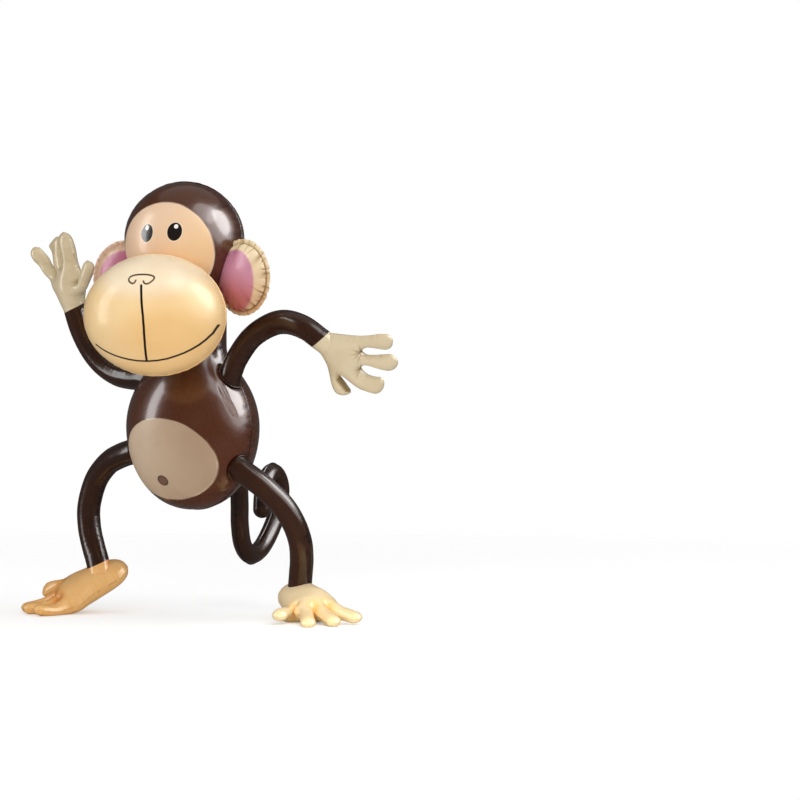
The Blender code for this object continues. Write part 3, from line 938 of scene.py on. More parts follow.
@dataclass(frozen=True)
class Tube:
    """Round limb or tail: a ring carried along a path, with a weld edge on two sides.

    Attributes:
        path: Points of its middle line.
        radius: Half its thickness.
        reference: Axis that the weld edges stay square to.
        seed: Seed of its wrinkles.
        round_end: Whether the far end is a half ball.
        wrinkle: Depth of the wrinkles inside its bends.
        around: Points round the ring.
        spacing: Distance between rings.
        seam_height: Height of the weld edges' ridges.
        seam_width: Half width of those ridges.
    """

    path: tuple[Triple, ...]
    radius: float
    reference: Triple
    seed: int
    round_end: bool = True
    wrinkle: float = 0.45
    around: int = 72
    spacing: float = 0.9
    seam_height: float = 0.85
    seam_width: float = 0.45

    def middle(self) -> tuple[Array, Array, Array, Array, Array]:
        """Middle line with its lengths, directions and the two square directions at each point."""
        centre, at = smooth_path(self.path, self.spacing)
        along = unit(np.gradient(centre, axis=0))
        side = unit(np.cross(along, np.array(self.reference)))
        return centre, at, along, side, np.cross(along, side)

    def shell(self) -> Shell:
        """Surface of the tube.

        A point is the middle line plus the radius times a turned direction. A narrow bell at two
        opposite turns raises the weld edges, folds run in from them, and wrinkles cross the inside
        of each bend as deep as the bend is tight.

        Returns:
            The closed shell.
        """
        centre, at, along, side, other = self.middle()
        turn = packed_turns(self.around, (0.0, math.pi, 2 * math.pi), 0.09, 5.0)
        ray = spokes(side, other, turn)
        length = float(at[-1])
        relief, marks = np.zeros((2, len(at), self.around))
        for number, middle in enumerate((0.0, math.pi)):
            gap = turn_gap(turn, middle)[None, :] * self.radius
            relief += self.seam_height * np.exp(-(gap / self.seam_width) ** 2)
            folds = Puckers(9.0, 0.5 * self.wrinkle, 1.0, 4.5, self.seed + number)
            height, mark = folds.relief(at[:, None], gap, 4.0 * length)
            relief += height * np.clip(gap / 1.0, 0.2, 1.0)
            marks = np.maximum(marks, 0.5 * np.maximum(mark, np.exp(-((gap - 0.9) / 0.4) ** 2)))
        bend = np.gradient(along, axis=0) / np.gradient(at)[:, None]
        tight = np.linalg.norm(bend, axis=1)
        smooth = np.convolve(np.pad(tight, 8, mode="edge"), np.ones(17) / 17, mode="valid")
        inner = bend / np.maximum(tight, 1e-9)[:, None]
        facing = np.clip(np.einsum("ijk,ik->ij", ray, inner), 0.0, 1.0)
        rng = np.random.default_rng(self.seed + 7)
        count = max(2, round(length / 6.0))
        for c, d, wide in zip((np.arange(count) + rng.uniform(0.2, 0.8, count)) * length / count,
                              rng.uniform(0.3, 1.0, count), rng.uniform(0.7, 1.3, count)):
            gap = at[:, None] - c - 0.8 * facing * rng.uniform(-1, 1)
            relief -= self.wrinkle * d * np.exp(-(gap / wide) ** 2) * facing ** 1.6 \
                * np.clip(smooth / 0.03, 0.0, 1.2)[:, None]
        rings = centre[:, None, :] + ray * (self.radius + relief)[..., None]
        tip = centre[-1]
        if self.round_end:
            part = np.linspace(0.0, 0.5 * math.pi, 14)[1:-1]
            cap = (centre[-1] + along[-1] * (self.radius * np.sin(part))[:, None])[:, None, :] \
                + ray[-1][None] * ((self.radius + relief[-1])[None, :, None] * np.cos(part)[:, None, None])
            rings = np.concatenate([rings, cap])
            marks = np.concatenate([marks, np.repeat(marks[-1:], len(cap), axis=0)])
            tip = centre[-1] + along[-1] * self.radius
        return ring_shell(rings, centre[0], tip, {"fold": marks})

    def collar(self, body: Pear, thick: float, lip: float) -> Shell:
        """Weld edge where the tube leaves the torso.

        On each line along the tube the first point outside the torso's rings is found, and a flat
        oval section is carried round those points.

        Args:
            body: Torso that the tube leaves.
            thick: Half thickness of the edge.
            lip: How far it stands out from the tube.

        Returns:
            The closed ring.
        """
        centre, at, along, side, other = self.middle()
        turn = np.linspace(0.0, 2 * math.pi, 96, endpoint=False)
        ray = spokes(side, other, turn)
        wall = centre[:, None, :] + ray * self.radius
        out = body.outside(wall)
        first = np.clip(np.argmax(out > 0, axis=0), 1, len(at) - 1)
        cols = np.arange(len(turn))
        before, after = out[first - 1, cols], out[first, cols]
        share = np.clip(-before / np.maximum(after - before, 1e-9), 0.0, 1.0)[:, None]
        foot = wall[first - 1, cols] * (1 - share) + wall[first, cols] * share
        radial = ray[first, cols]
        way = along[first]
        wave = 0.5 + 0.5 * wander(turn * self.radius, 2 * math.pi * self.radius, (5, 12), self.seed + 21)
        section = np.linspace(0.0, 2 * math.pi, 10, endpoint=False)
        reach = (0.35 + lip * (0.55 + 0.45 * wave))[:, None]
        ring = foot[:, None, :] + radial[:, None, :] * (reach * np.cos(section)[None, :])[..., None] \
            + way[:, None, :] * (thick * np.sin(section) + 0.35)[None, :, None]
        index = np.arange(ring.size // 3).reshape(ring.shape[:2])
        quads = ring_quads(index).reshape(-1, 4)[:, (0, 3, 2, 1)]
        return Shell(ring.reshape(-1, 3), quads, np.zeros((0, 3), dtype=int)).outward()


@dataclass(frozen=True)
class PadPlan:
    """Plan of a hand or foot in its own plane, in steps.

    Attributes:
        palm: Heel, middle and ball as (along, across, half width).
        digits: Three digits, each as points of (along, across, half width, lift).
        thumb: The thumb, in the same way.
        rim: Points of the whole outline, where they aren't worked out from the digits.
        forks: Numbers of the rim's points between two digits.
        shaded: Numbers of the rim's points between which the film turns under and is darkened with painted
            shade.
        fineness: Points of the smooth outline for each point of the rim.
    """

    palm: tuple[Triple, Triple, Triple]
    digits: tuple[tuple[tuple[float, float, float, float], ...], ...]
    thumb: tuple[tuple[float, float, float, float], ...]
    rim: tuple[Pair, ...] = ()
    forks: tuple[int, ...] = ()
    shaded: tuple[int, ...] = ()
    fineness: int = 7

    def worked_rim(self) -> tuple[list[Pair], list[int]]:
        """Rim points round the heel, up each digit's one side, round its tip and down the other.

        Returns:
            The rim's points, and the numbers of those between two digits.
        """
        heel, middle, ball = (np.array(p) for p in self.palm)
        rim = []
        turns = math.pi * (0.5 + (np.arange(7) + 0.5) / 7)
        rim += [(heel[0] + heel[2] * math.cos(t), heel[1] + heel[2] * math.sin(t)) for t in turns]
        rim += [(heel[0], heel[1] - heel[2]), (middle[0], middle[1] - middle[2])]
        if self.walk(np.array(self.digits[0]))[0][0] > ball[0]:
            rim.append((ball[0], ball[1] - ball[2]))
        forks = []
        last = None
        for digit in self.digits:
            walk = self.walk(np.array(digit))
            if last is not None:
                mid = 0.5 * (walk[0] + last)
                forks.append(len(rim))
                rim.append(tuple(mid + 0.10 * (ball[:2] - mid)))
            rim += [tuple(p) for p in walk]
            last = walk[-1]
        rim.append((ball[0] - 1.0, ball[1] + ball[2]))
        walk = self.walk(np.array(self.thumb))
        forks.append(len(rim))
        rim.append(tuple(0.5 * walk[0] + 0.5 * np.array((ball[0] - 1.0, ball[1] + ball[2]))))
        rim += [tuple(p) for p in walk]
        rim += [(middle[0] - 6.0, middle[1] + middle[2]), (heel[0], heel[1] + heel[2])]
        return rim, forks

    def outline(self) -> tuple[Array, Array]:
        """Smooth closed outline and the lengths along it where digits meet.

        Returns:
            Outline points as (n, 2), and the places between the digits along the outline.
        """
        rim, forks = (list(self.rim), list(self.forks)) if self.rim else self.worked_rim()
        p = np.array(rim)
        t = np.linspace(0.0, 1.0, self.fineness, endpoint=False)[None, :, None]
        curve = rounded(*(np.roll(p, k, axis=0)[:, None, :] for k in (1, 0, -1, -2)), t).reshape(-1, 2)
        return curve, closed_lengths(curve)[0][np.array(forks) * self.fineness]

    @staticmethod
    def walk(digit: Array) -> Array:
        """Rim of one digit: up its near side, round its tip and down its far side."""
        xy, half = digit[:, :2], digit[:, 2:3]
        way = unit(np.diff(xy, axis=0))
        way = np.vstack([way[:1], unit(way[:-1] + way[1:]), way[-1:]])
        square = np.stack([-way[:, 1], way[:, 0]], axis=1)
        turns = (math.pi * np.arange(1, 6) / 6)[:, None]
        tip = xy[-1] + (way[-1] * np.sin(turns) - square[-1] * np.cos(turns)) * half[-1]
        return np.vstack([xy - square * half, tip, (xy + square * half)[::-1]])

    def lift(self, plan: Array) -> Array:
        """Height of the pad's middle sheet over its plane: a weighted mean of the digits' lifts."""
        knots = [(p[0], p[1], 0.0) for p in self.palm]
        knots += [(d[0], d[1], d[3]) for digit in self.digits + (self.thumb,) for d in digit]
        knots_array = np.array(knots)
        gap = np.linalg.norm(plan[..., None, :] - knots_array[:, :2], axis=-1)
        weight = np.exp(-(gap / 9.0) ** 2) + 1e-6
        return (weight * knots_array[:, 2]).sum(axis=-1) / weight.sum(axis=-1)


def outline_gap(points: Array, outline: Array) -> tuple[Array, Array, Array]:
    """Distance of points from a closed outline, above zero inside.

    Each point is dropped onto every edge. Crossings of a level line with the edges tell inside.

    Args:
        points: Points as (n, 2).
        outline: Outline points as (m, 2).

    Returns:
        Signed distances, lengths along the outline, and nearest outline points.
    """
    start, way = outline, np.roll(outline, -1, axis=0) - outline
    place, span = closed_lengths(outline)
    gaps, places, feet = [], [], []
    for block in np.array_split(points, max(1, len(points) // 3000)):
        off = block[:, None, :] - start[None]
        share = np.clip(np.einsum("ijk,jk->ij", off, way) / (span ** 2), 0.0, 1.0)
        foot = start + way * share[..., None]
        gap = np.linalg.norm(block[:, None, :] - foot, axis=-1)
        best = np.argmin(gap, axis=1)
        rows = np.arange(len(block))
        above = start[None, :, 1] > block[:, 1:2]
        above_next = np.roll(above, -1, axis=1)
        level = start[None, :, 0] + (block[:, 1:2] - start[None, :, 1]) * (
            way[None, :, 0] / np.where(np.abs(way[None, :, 1]) < 1e-12, 1e-12, way[None, :, 1]))
        inside = (((above != above_next) & (block[:, 0:1] < level)).sum(axis=1) % 2) == 1
        gaps.append(np.where(inside, 1.0, -1.0) * gap[rows, best])
        places.append(place[best] + span[best] * share[rows, best])
        feet.append(foot[rows, best])
    return np.concatenate(gaps), np.concatenate(places), np.concatenate(feet)


def blown_film(gap: Array, cell: float) -> Array:
    """Bubble over a plan: the field whose bending is the same everywhere and that is 0 at the weld.

    On the grid each inner point's four differences add up to the cell squared. A neighbour beyond
    the weld counts by the true share of the cell that lies inside. Conjugate gradients solve it.

    Args:
        gap: Signed distance from the weld on a grid, above zero inside.
        cell: Size of a grid cell.

    Returns:
        The field on the grid, 0 outside.
    """
    inside = gap > 0
    links = []
    weight = np.zeros(gap.shape)
    for axis, way in ((0, 1), (0, -1), (1, 1), (1, -1)):
        near = np.roll(inside, way, axis) & inside
        share = np.clip(gap / np.maximum(gap - np.roll(gap, way, axis), 1e-9), 0.08, 1.0)
        weight += np.where(near, 1.0, 1.0 / share)
        links.append((axis, way, near))
    weight = np.where(inside, weight, 1.0)

    def bending(value: Array) -> Array:
        """Four differences of a field."""
        total = weight * value
        for axis, way, near in links:
            total -= np.where(near, np.roll(value, way, axis), 0.0)
        return np.where(inside, total, 0.0)

    field_value = np.zeros(gap.shape)
    rest = np.where(inside, cell * cell, 0.0)
    scaled = rest / weight
    push = scaled.copy()
    energy = float((rest * scaled).sum())
    start = energy
    for _ in range(600):
        bent = bending(push)
        step = energy / float((push * bent).sum())
        field_value += step * push
        rest = rest - step * bent
        scaled = rest / weight
        fresh = float((rest * scaled).sum())
        if fresh < start * 1e-10:
            break
        push = scaled + (fresh / energy) * push
        energy = fresh
    return field_value


@dataclass(frozen=True)
class Pad:
    """Hand or foot: two flat panels welded along an outline and blown up.

    Attributes:
        plan: Its plan.
        cell: Size of a grid cell.
        flange: Width of the weld's edge.
        ease: How gently the film rises from the weld.
        swell: Height of the film over that of a round tube.
        cap: Height that the palm's film comes near to.
        corner: How late the palm's film turns level; a high number turns late and sharply.
        fullness: Power that makes wide places fuller than narrow ones.
        puckers: Folds that run in from the weld.
        fork_depth: Depth of the folds between the digits.
        rays: How many folds fan out from each place between two digits.
        fans: Strength of the folds at each of those places.
        blush: How much painted shade darkens the film round those places.
    """

    plan: PadPlan
    cell: float = 0.5
    flange: float = 0.5
    ease: float = 0.6
    swell: float = 0.84
    cap: float = 15.5
    corner: float = 2.6
    fullness: float = 1.0
    puckers: tuple[Puckers, ...] = (Puckers(7.5, 0.16, 0.8, 4.0, 71, 0.0, 0.12),)
    fork_depth: float = 1.1
    rays: int = 5
    fans: Triple = (1.0, 0.8, 0.3)
    blush: float = 0.0

    def fan(self, plan: Array, fork: Array, inward: Array, seed: int) -> tuple[Array, Array]:
        """Folds that fan out from the place between two digits: bells across rays that fade outward.

        Args:
            plan: Plan points as (..., 2).
            fork: Place between the digits.
            inward: Unit direction from there into the palm.
            seed: Seed of the rays.

        Returns:
            Height of the folds, below zero, and marks from 0 to 1 for the painted shade in them.
        """
        rng = np.random.default_rng(seed)
        off = plan - fork
        away = np.linalg.norm(off, axis=-1)
        turn = np.arctan2(off @ np.array((-inward[1], inward[0])), off @ inward)
        total, mark = np.zeros(away.shape), np.zeros(away.shape)
        for middle in np.linspace(-1.35, 1.35, self.rays) + rng.uniform(-0.18, 0.18, self.rays):
            half = 0.42 + 0.05 * away
            lean = turn - middle
            bell = np.exp(-(lean * np.maximum(away, 0.5) / half) ** 2) * (np.cos(lean) > 0)
            fade = np.exp(-(away / rng.uniform(3.5, 7.5)) ** 2) * np.clip(away / 1.2, 0.0, 1.0)
            total -= 0.55 * self.fork_depth * bell * fade
            mark = np.maximum(mark, bell * fade)
        return total - self.fork_depth * np.exp(-(away / 2.2) ** 2), \
            np.maximum(0.75 * mark, np.exp(-(away / 2.0) ** 2))

    def sheets(self) -> tuple[Array, Array, Array, Array, Array]:
        """Plan points, half heights, faces and marks of the two sheets.

        Returns:
            Plan points as (n, 2), half heights, quads of one sheet, a mark on the edge points, and
            the marks of the folds' painted shade.
        """
        outline, forks = self.plan.outline()
        low = outline.min(axis=0) - 3 * self.cell
        count = np.ceil((outline.max(axis=0) + 3 * self.cell - low) / self.cell).astype(int) + 1
        steps = np.meshgrid(np.arange(count[0]), np.arange(count[1]), indexing="ij")
        grid = low + np.stack(steps, axis=-1) * self.cell
        gap, place, foot = outline_gap(grid.reshape(-1, 2), outline)
        gap, place, foot = gap.reshape(count), place.reshape(count), foot.reshape(tuple(count) + (2,))
        bubble = 2.0 * np.maximum(blown_film(gap - self.flange, self.cell), 0.0)
        height = self.swell * (np.sqrt(bubble + self.ease ** 2) - self.ease)
        height = height * (np.maximum(height, 0.01) / 8.0) ** (self.fullness - 1.0)
        height = self.cap * np.tanh((height / self.cap) ** self.corner) ** (1 / self.corner)
        along, span = closed_lengths(outline)
        inset = np.maximum(gap - self.flange, 0.0)
        relief, marks = gathered(self.puckers, place, inset, float(span.sum()))
        for number, fork in enumerate(forks):
            before, spot, after = np.stack([np.interp(fork + np.array((-6.0, 0.0, 6.0)), along, outline[:, k])
                                            for k in range(2)], axis=1)
            fold, mark = self.fan(grid, spot, unit(spot - 0.5 * (before + after)), 300 + number)
            # Painted shade: the fans' marks and the blush darken the film between the digits.
            relief += self.fans[number] * fold
            marks = np.maximum(marks, self.fans[number] * mark)
            marks = np.maximum(marks, self.blush * np.exp(-(np.linalg.norm(grid - spot, axis=-1) / 7.0) ** 2))
        # Painted shade along the thumb's inner side, where the film turns under.
        if self.plan.shaded:
            first, last = (along[self.plan.fineness * k] for k in self.plan.shaded)
            band = np.clip((place - first) / 2.0, 0.0, 1.0) * np.clip((last - place) / 4.0, 0.0, 1.0)
            marks = np.maximum(marks, 0.9 * band * np.exp(-(inset / 4.0) ** 4))
        height = np.maximum(height + relief * np.clip(inset / 1.2, 0.0, 1.0), 0.0)
        middle = 0.25 * (gap[:-1, :-1] + gap[1:, :-1] + gap[:-1, 1:] + gap[1:, 1:])
        used = middle > 0
        padded = np.pad(used, 1)
        touch = np.stack([padded[:-1, :-1], padded[1:, :-1], padded[:-1, 1:], padded[1:, 1:]])
        kept, edge = touch.any(axis=0), touch.any(axis=0) & ~touch.all(axis=0)
        plan = np.where(edge[..., None], foot, grid)
        height = np.where(edge, 0.0, height + 0.3 * np.clip(gap / 0.6, 0.0, 1.0) ** 0.5)
        number = np.full(kept.shape, -1)
        number[kept] = np.arange(kept.sum())
        quads = np.stack([number[:-1, :-1], number[1:, :-1], number[1:, 1:], number[:-1, 1:]], axis=-1)[used]
        return plan[kept], height[kept], quads, edge[kept], marks[kept]

    def shell(self, place: "HandPlace | FootPlace") -> Shell:
        """Both sheets set in space and joined along the edge.

        Args:
            place: Turns plan points and heights into points in space.

        Returns:
            The closed shell with its plan coordinates as a field.
        """
        plan, height, quads, edge, marks = self.sheets()
        lift = self.plan.lift(plan)
        upper = np.column_stack([plan, lift + height])
        lower = np.column_stack([plan, lift - height])
        count = len(plan)
        number = np.arange(count)
        below = np.where(edge, number, -1)
        below[~edge] = count + np.arange((~edge).sum())
        local = np.vstack([upper, lower[~edge]])
        faces = np.vstack([quads, below[quads][:, ::-1]])
        made = Shell(place.points(local), faces, np.zeros((0, 3), dtype=int)).outward()
        made.fields["print_at"] = local
        made.fields["fold"] = np.concatenate([marks, marks[~edge]])
        return made


@dataclass(frozen=True)
class HandPlace:
    """Place of a hand: its wrist, the way of its fingers and the way of its thumb."""

    wrist: Triple
    along: Triple
    across: Triple

    def points(self, local: Array) -> Array:
        """Points in space: the wrist plus the three square directions times the coordinates."""
        one = unit(np.array(self.along))
        two = unit(np.array(self.across) - one * float(np.dot(self.across, one)))
        return np.array(self.wrist) + local @ np.stack([one, two, np.cross(one, two)])


@dataclass(frozen=True)
class FootPlace:
    """Place of a foot: its sole runs down from the raised heel and bends flat toward the toes.

    Attributes:
        heel: Place of the heel point before the foot is set on the floor.
        toward: Ground direction of the toes.
        pitch: Slope at the heel and at the toes, in degrees.
        roll: Lean at the heel and at the toes, in degrees.
        stretch: Lengths between which slope and lean change.
        inner: 1 or -1 for the thumb's side.
        sole_flat: How deep the lowest place would sink, which the floor presses flat.
    """

    heel: Triple
    toward: Pair
    pitch: Pair
    roll: Pair
    stretch: Pair
    inner: float
    sole_flat: float = 0.0022 / STEP

    def bend(self, pair: Pair, at: Array) -> Array:
        """Angle in radians at a length, eased between the two ends of the stretch."""
        t = np.clip((at - self.stretch[0]) / (self.stretch[1] - self.stretch[0]), 0.0, 1.0)
        return np.radians(pair[0] + (pair[1] - pair[0]) * t * t * (3 - 2 * t))

    def points(self, local: Array) -> Array:
        """Points in space: the spine is the running sum of the sloping direction along the foot, and
        width and height are taken square to it. The foot is then set down and its sole pressed flat.

        Args:
            local: Points as (along, across, height).

        Returns:
            Points on the grid.
        """
        ahead = unit(np.array((self.toward[0], self.toward[1], 0.0)))
        aside = np.array((-ahead[1], ahead[0], 0.0)) * self.inner
        up = np.array((0.0, 0.0, 1.0))
        table = np.linspace(-40.0, 130.0, 1701)
        slope = self.bend(self.pitch, table)
        run = np.cumsum(np.cos(slope)) * 0.1
        fall = np.cumsum(np.sin(slope)) * 0.1
        run -= np.interp(0.0, table, run)
        fall -= np.interp(0.0, table, fall)
        x, y, z = local.T
        slope, lean = self.bend(self.pitch, x), self.bend(self.roll, x)
        spine = np.array(self.heel) + ahead * np.interp(x, table, run)[:, None]
        spine -= up * np.interp(x, table, fall)[:, None]
        top = ahead * np.sin(slope)[:, None] + up * np.cos(slope)[:, None]
        out = aside * np.cos(lean)[:, None] - top * np.sin(lean)[:, None]
        top = aside * np.sin(lean)[:, None] + top * np.cos(lean)[:, None]
        made = spine + out * y[:, None] + top * z[:, None]
        made[:, 2] -= made[:, 2].min() + self.sole_flat
        made[:, 2] = np.where(made[:, 2] < 0.6, 0.2 + 0.4 * np.exp((made[:, 2] - 0.6) / 0.4), made[:, 2])
        return made


ARM_RADIUS, LEG_RADIUS, TAIL_RADIUS = 11.0, 11.75, 9.25
ARM_LEFT_PATH = ((46.5, -10, 232), (49.5, -11, 242), (56.5, -10.5, 258), (72, -9, 278), (94, -10, 290.5),
                 (116, -15, 294), (139, -19, 289), (156, -16.5, 278), (162.5, -13.5, 272.5))
ARM_RIGHT_PATH = ((-38, -2, 231), (-60, 0, 236), (-78, 3, 236.5), (-97, 5, 239.5), (-115, 6, 248.5),
                  (-129, 5, 263), (-138.5, 1, 283), (-143, -4, 304), (-143.2, -5, 311))
LEG_LEFT_PATH = ((44, -12, 162), (65, -12, 147.5), (82, -7, 135), (97, 6, 116.5), (104, 17, 98),
                 (105, 28, 79), (100, 39, 61), (95, 45, 43), (92.5, 47, 28))
LEG_RIGHT_PATH = ((-40, -14, 169), (-64, -14, 164), (-84, -9.5, 158.5), (-103, -3.5, 150), (-122, 3, 132.5),
                  (-133, 6.5, 107), (-133, 7, 85), (-127.5, 6, 66), (-119.5, 2.5, 50), (-114.2, -0.8, 36))
TAIL_PATH = ((0, 34, 152), (-4, 62, 150), (-9, 84, 143), (-13, 98, 129), (-15, 103, 108), (-16, 105, 86),
             (-17, 112, 65), (-18, 128, 53.5), (-19, 149, 59), (-20, 169, 76), (-20, 183, 97),
             (-20, 188, 117), (-20, 182, 131), (-20, 171, 136), (-19, 159, 128), (-19, 152.5, 113),
             (-19, 151, 99))

HAND_LEFT_PLAN = PadPlan(
    ((4.5, 3.5, 12.5), (18, 15, 19.5), (30, 18, 21)),
    (((36, 3, 7, 0), (51, 2.4, 6.8, 0), (63.5, 2.4, 7.6, 0)),
     ((40, 20, 6.6, 0), (53, 22, 7.2, 0), (66, 23.4, 8.4, 0)),
     ((35, 35, 7.6, 0), (43, 42, 8.2, 0), (50.5, 47, 8.6, 0))),
    ((12.5, 35, 8.2, 1), (14.5, 43, 8.4, 2), (16.5, 50.5, 8.6, 3)),
    ((7.4, -7.9), (11.0, -7.0), (20, -5.6), (29.8, -4.6), (39.6, -4.3), (49.4, -4.9), (59.3, -6.3),
     (67.1, -5.8), (71, -2.4), (71.5, 2.3), (69.3, 7.5), (64.2, 10.2), (56, 9.2), (48.3, 8.2), (43.8, 8.5),
     (40.4, 11.4), (43.6, 14.9), (52.5, 15.5), (62.4, 14.8), (69.2, 15), (73.8, 18.9), (74.8, 24.1),
     (71.9, 29.1), (66.3, 32.1), (59, 31.5), (52.3, 29.5), (46.6, 27.6), (41.3, 26.6), (38.1, 29),
     (40.2, 33.1), (44.8, 36.5), (51.5, 38.3), (56.6, 38.9), (59.3, 43), (58.8, 48.8), (55.5, 53.8),
     (50.8, 56.4), (45.6, 55.8), (40.3, 53.8), (34, 51.3), (28.3, 47.6), (22.8, 42.8), (19.3, 39),
     (15.8, 37.4), (18.4, 42.2), (21.7, 47.6), (24.7, 53.5), (24, 57.3), (19.2, 59.5), (13.8, 59.5),
     (9.6, 57.1), (7.4, 52.5), (6.3, 47), (5.8, 41.4), (5.2, 34.7), (4.3, 28.2), (2.6, 21.8), (-0.5, 14.8),
     (-5, 9.8), (-8.1, 6.4)), (15, 28, 43), (43, 47))
HAND_RIGHT_PLAN = PadPlan(
    ((3, -1, 12.5), (21, -5.5, 17.5), (31, -6, 19.5)),
    (((30.5, -20.2, 7.2, -3), (42, -31, 5.8, -8), (58, -42.5, 6.2, -12)),
     ((42, -14, 7, 0), (54, -20.5, 7, 3), (65, -26.5, 7.6, 7)),
     ((46, 2, 8, 0), (58, 1.5, 8.4, 0), (70, -2.5, 9.2, 0))),
    ((24, 15, 6.6, 1), (33, 21.5, 6.6, 3), (43, 26, 7.6, 6)))
FOOT_PLAN = PadPlan(
    ((17, 0, 19), (44, 2, 22), (64, 1, 25)),
    (((76, -15, 7.6, -1.2), (89, -20, 7.2, -2.4), (102, -25, 7.6, -2.8)),
     ((79, 0, 7.4, -1.2), (92, 0, 7.2, -2.4), (106.5, 0, 7.6, -2.8)),
     ((76, 15, 7.6, -1.2), (89, 20, 7.2, -2.4), (102, 24.5, 7.6, -2.8))),
    ((56, 25, 7.6, 0), (65, 34, 7.4, 0), (74, 42, 7.8, 0)))


@dataclass(frozen=True)
class Ear:
    """Shape and colours of one ear.

    Attributes:
        yaw: Its turn in degrees.
        reach: How far to the side of the head's middle its own middle lies.
        weld: Radius of the weld.
        edge: Width of the weld's edge.
        line: Darkness of the weld's line.
        depth: Depth of the folds.
        fold_shade: How much painted shade darkens the folds.
        blush: Pink field.
        pink: Colour of the field's upper part.
        rim: Colours of the rim below and above.
    """

    yaw: float
    reach: float
    weld: float
    edge: float
    line: float
    depth: float
    fold_shade: float
    blush: Oval
    pink: Colour
    rim: tuple[Colour, Colour]


EARS = {
    Side.LEFT: Ear(-12.0, 71.5, 31.8, 5.4, 0.85, 1.5, 1.0, Oval((-3.4, -2.8), (26.0, 29.6)),
                   srgb(208, 143, 170), (srgb(216, 178, 136), EAR_FILM.colour)),
    # The right ear's deeper pink and darker rim are painted shade from the head.
    Side.RIGHT: Ear(6.0, -69.0, 32.8, 3.6, 0.3, 1.0, 0.35, Oval((2.0, -2.0), (27.0, 28.0)),
                    srgb(186, 99, 128), (srgb(200, 158, 128), srgb(216, 178, 146)))}


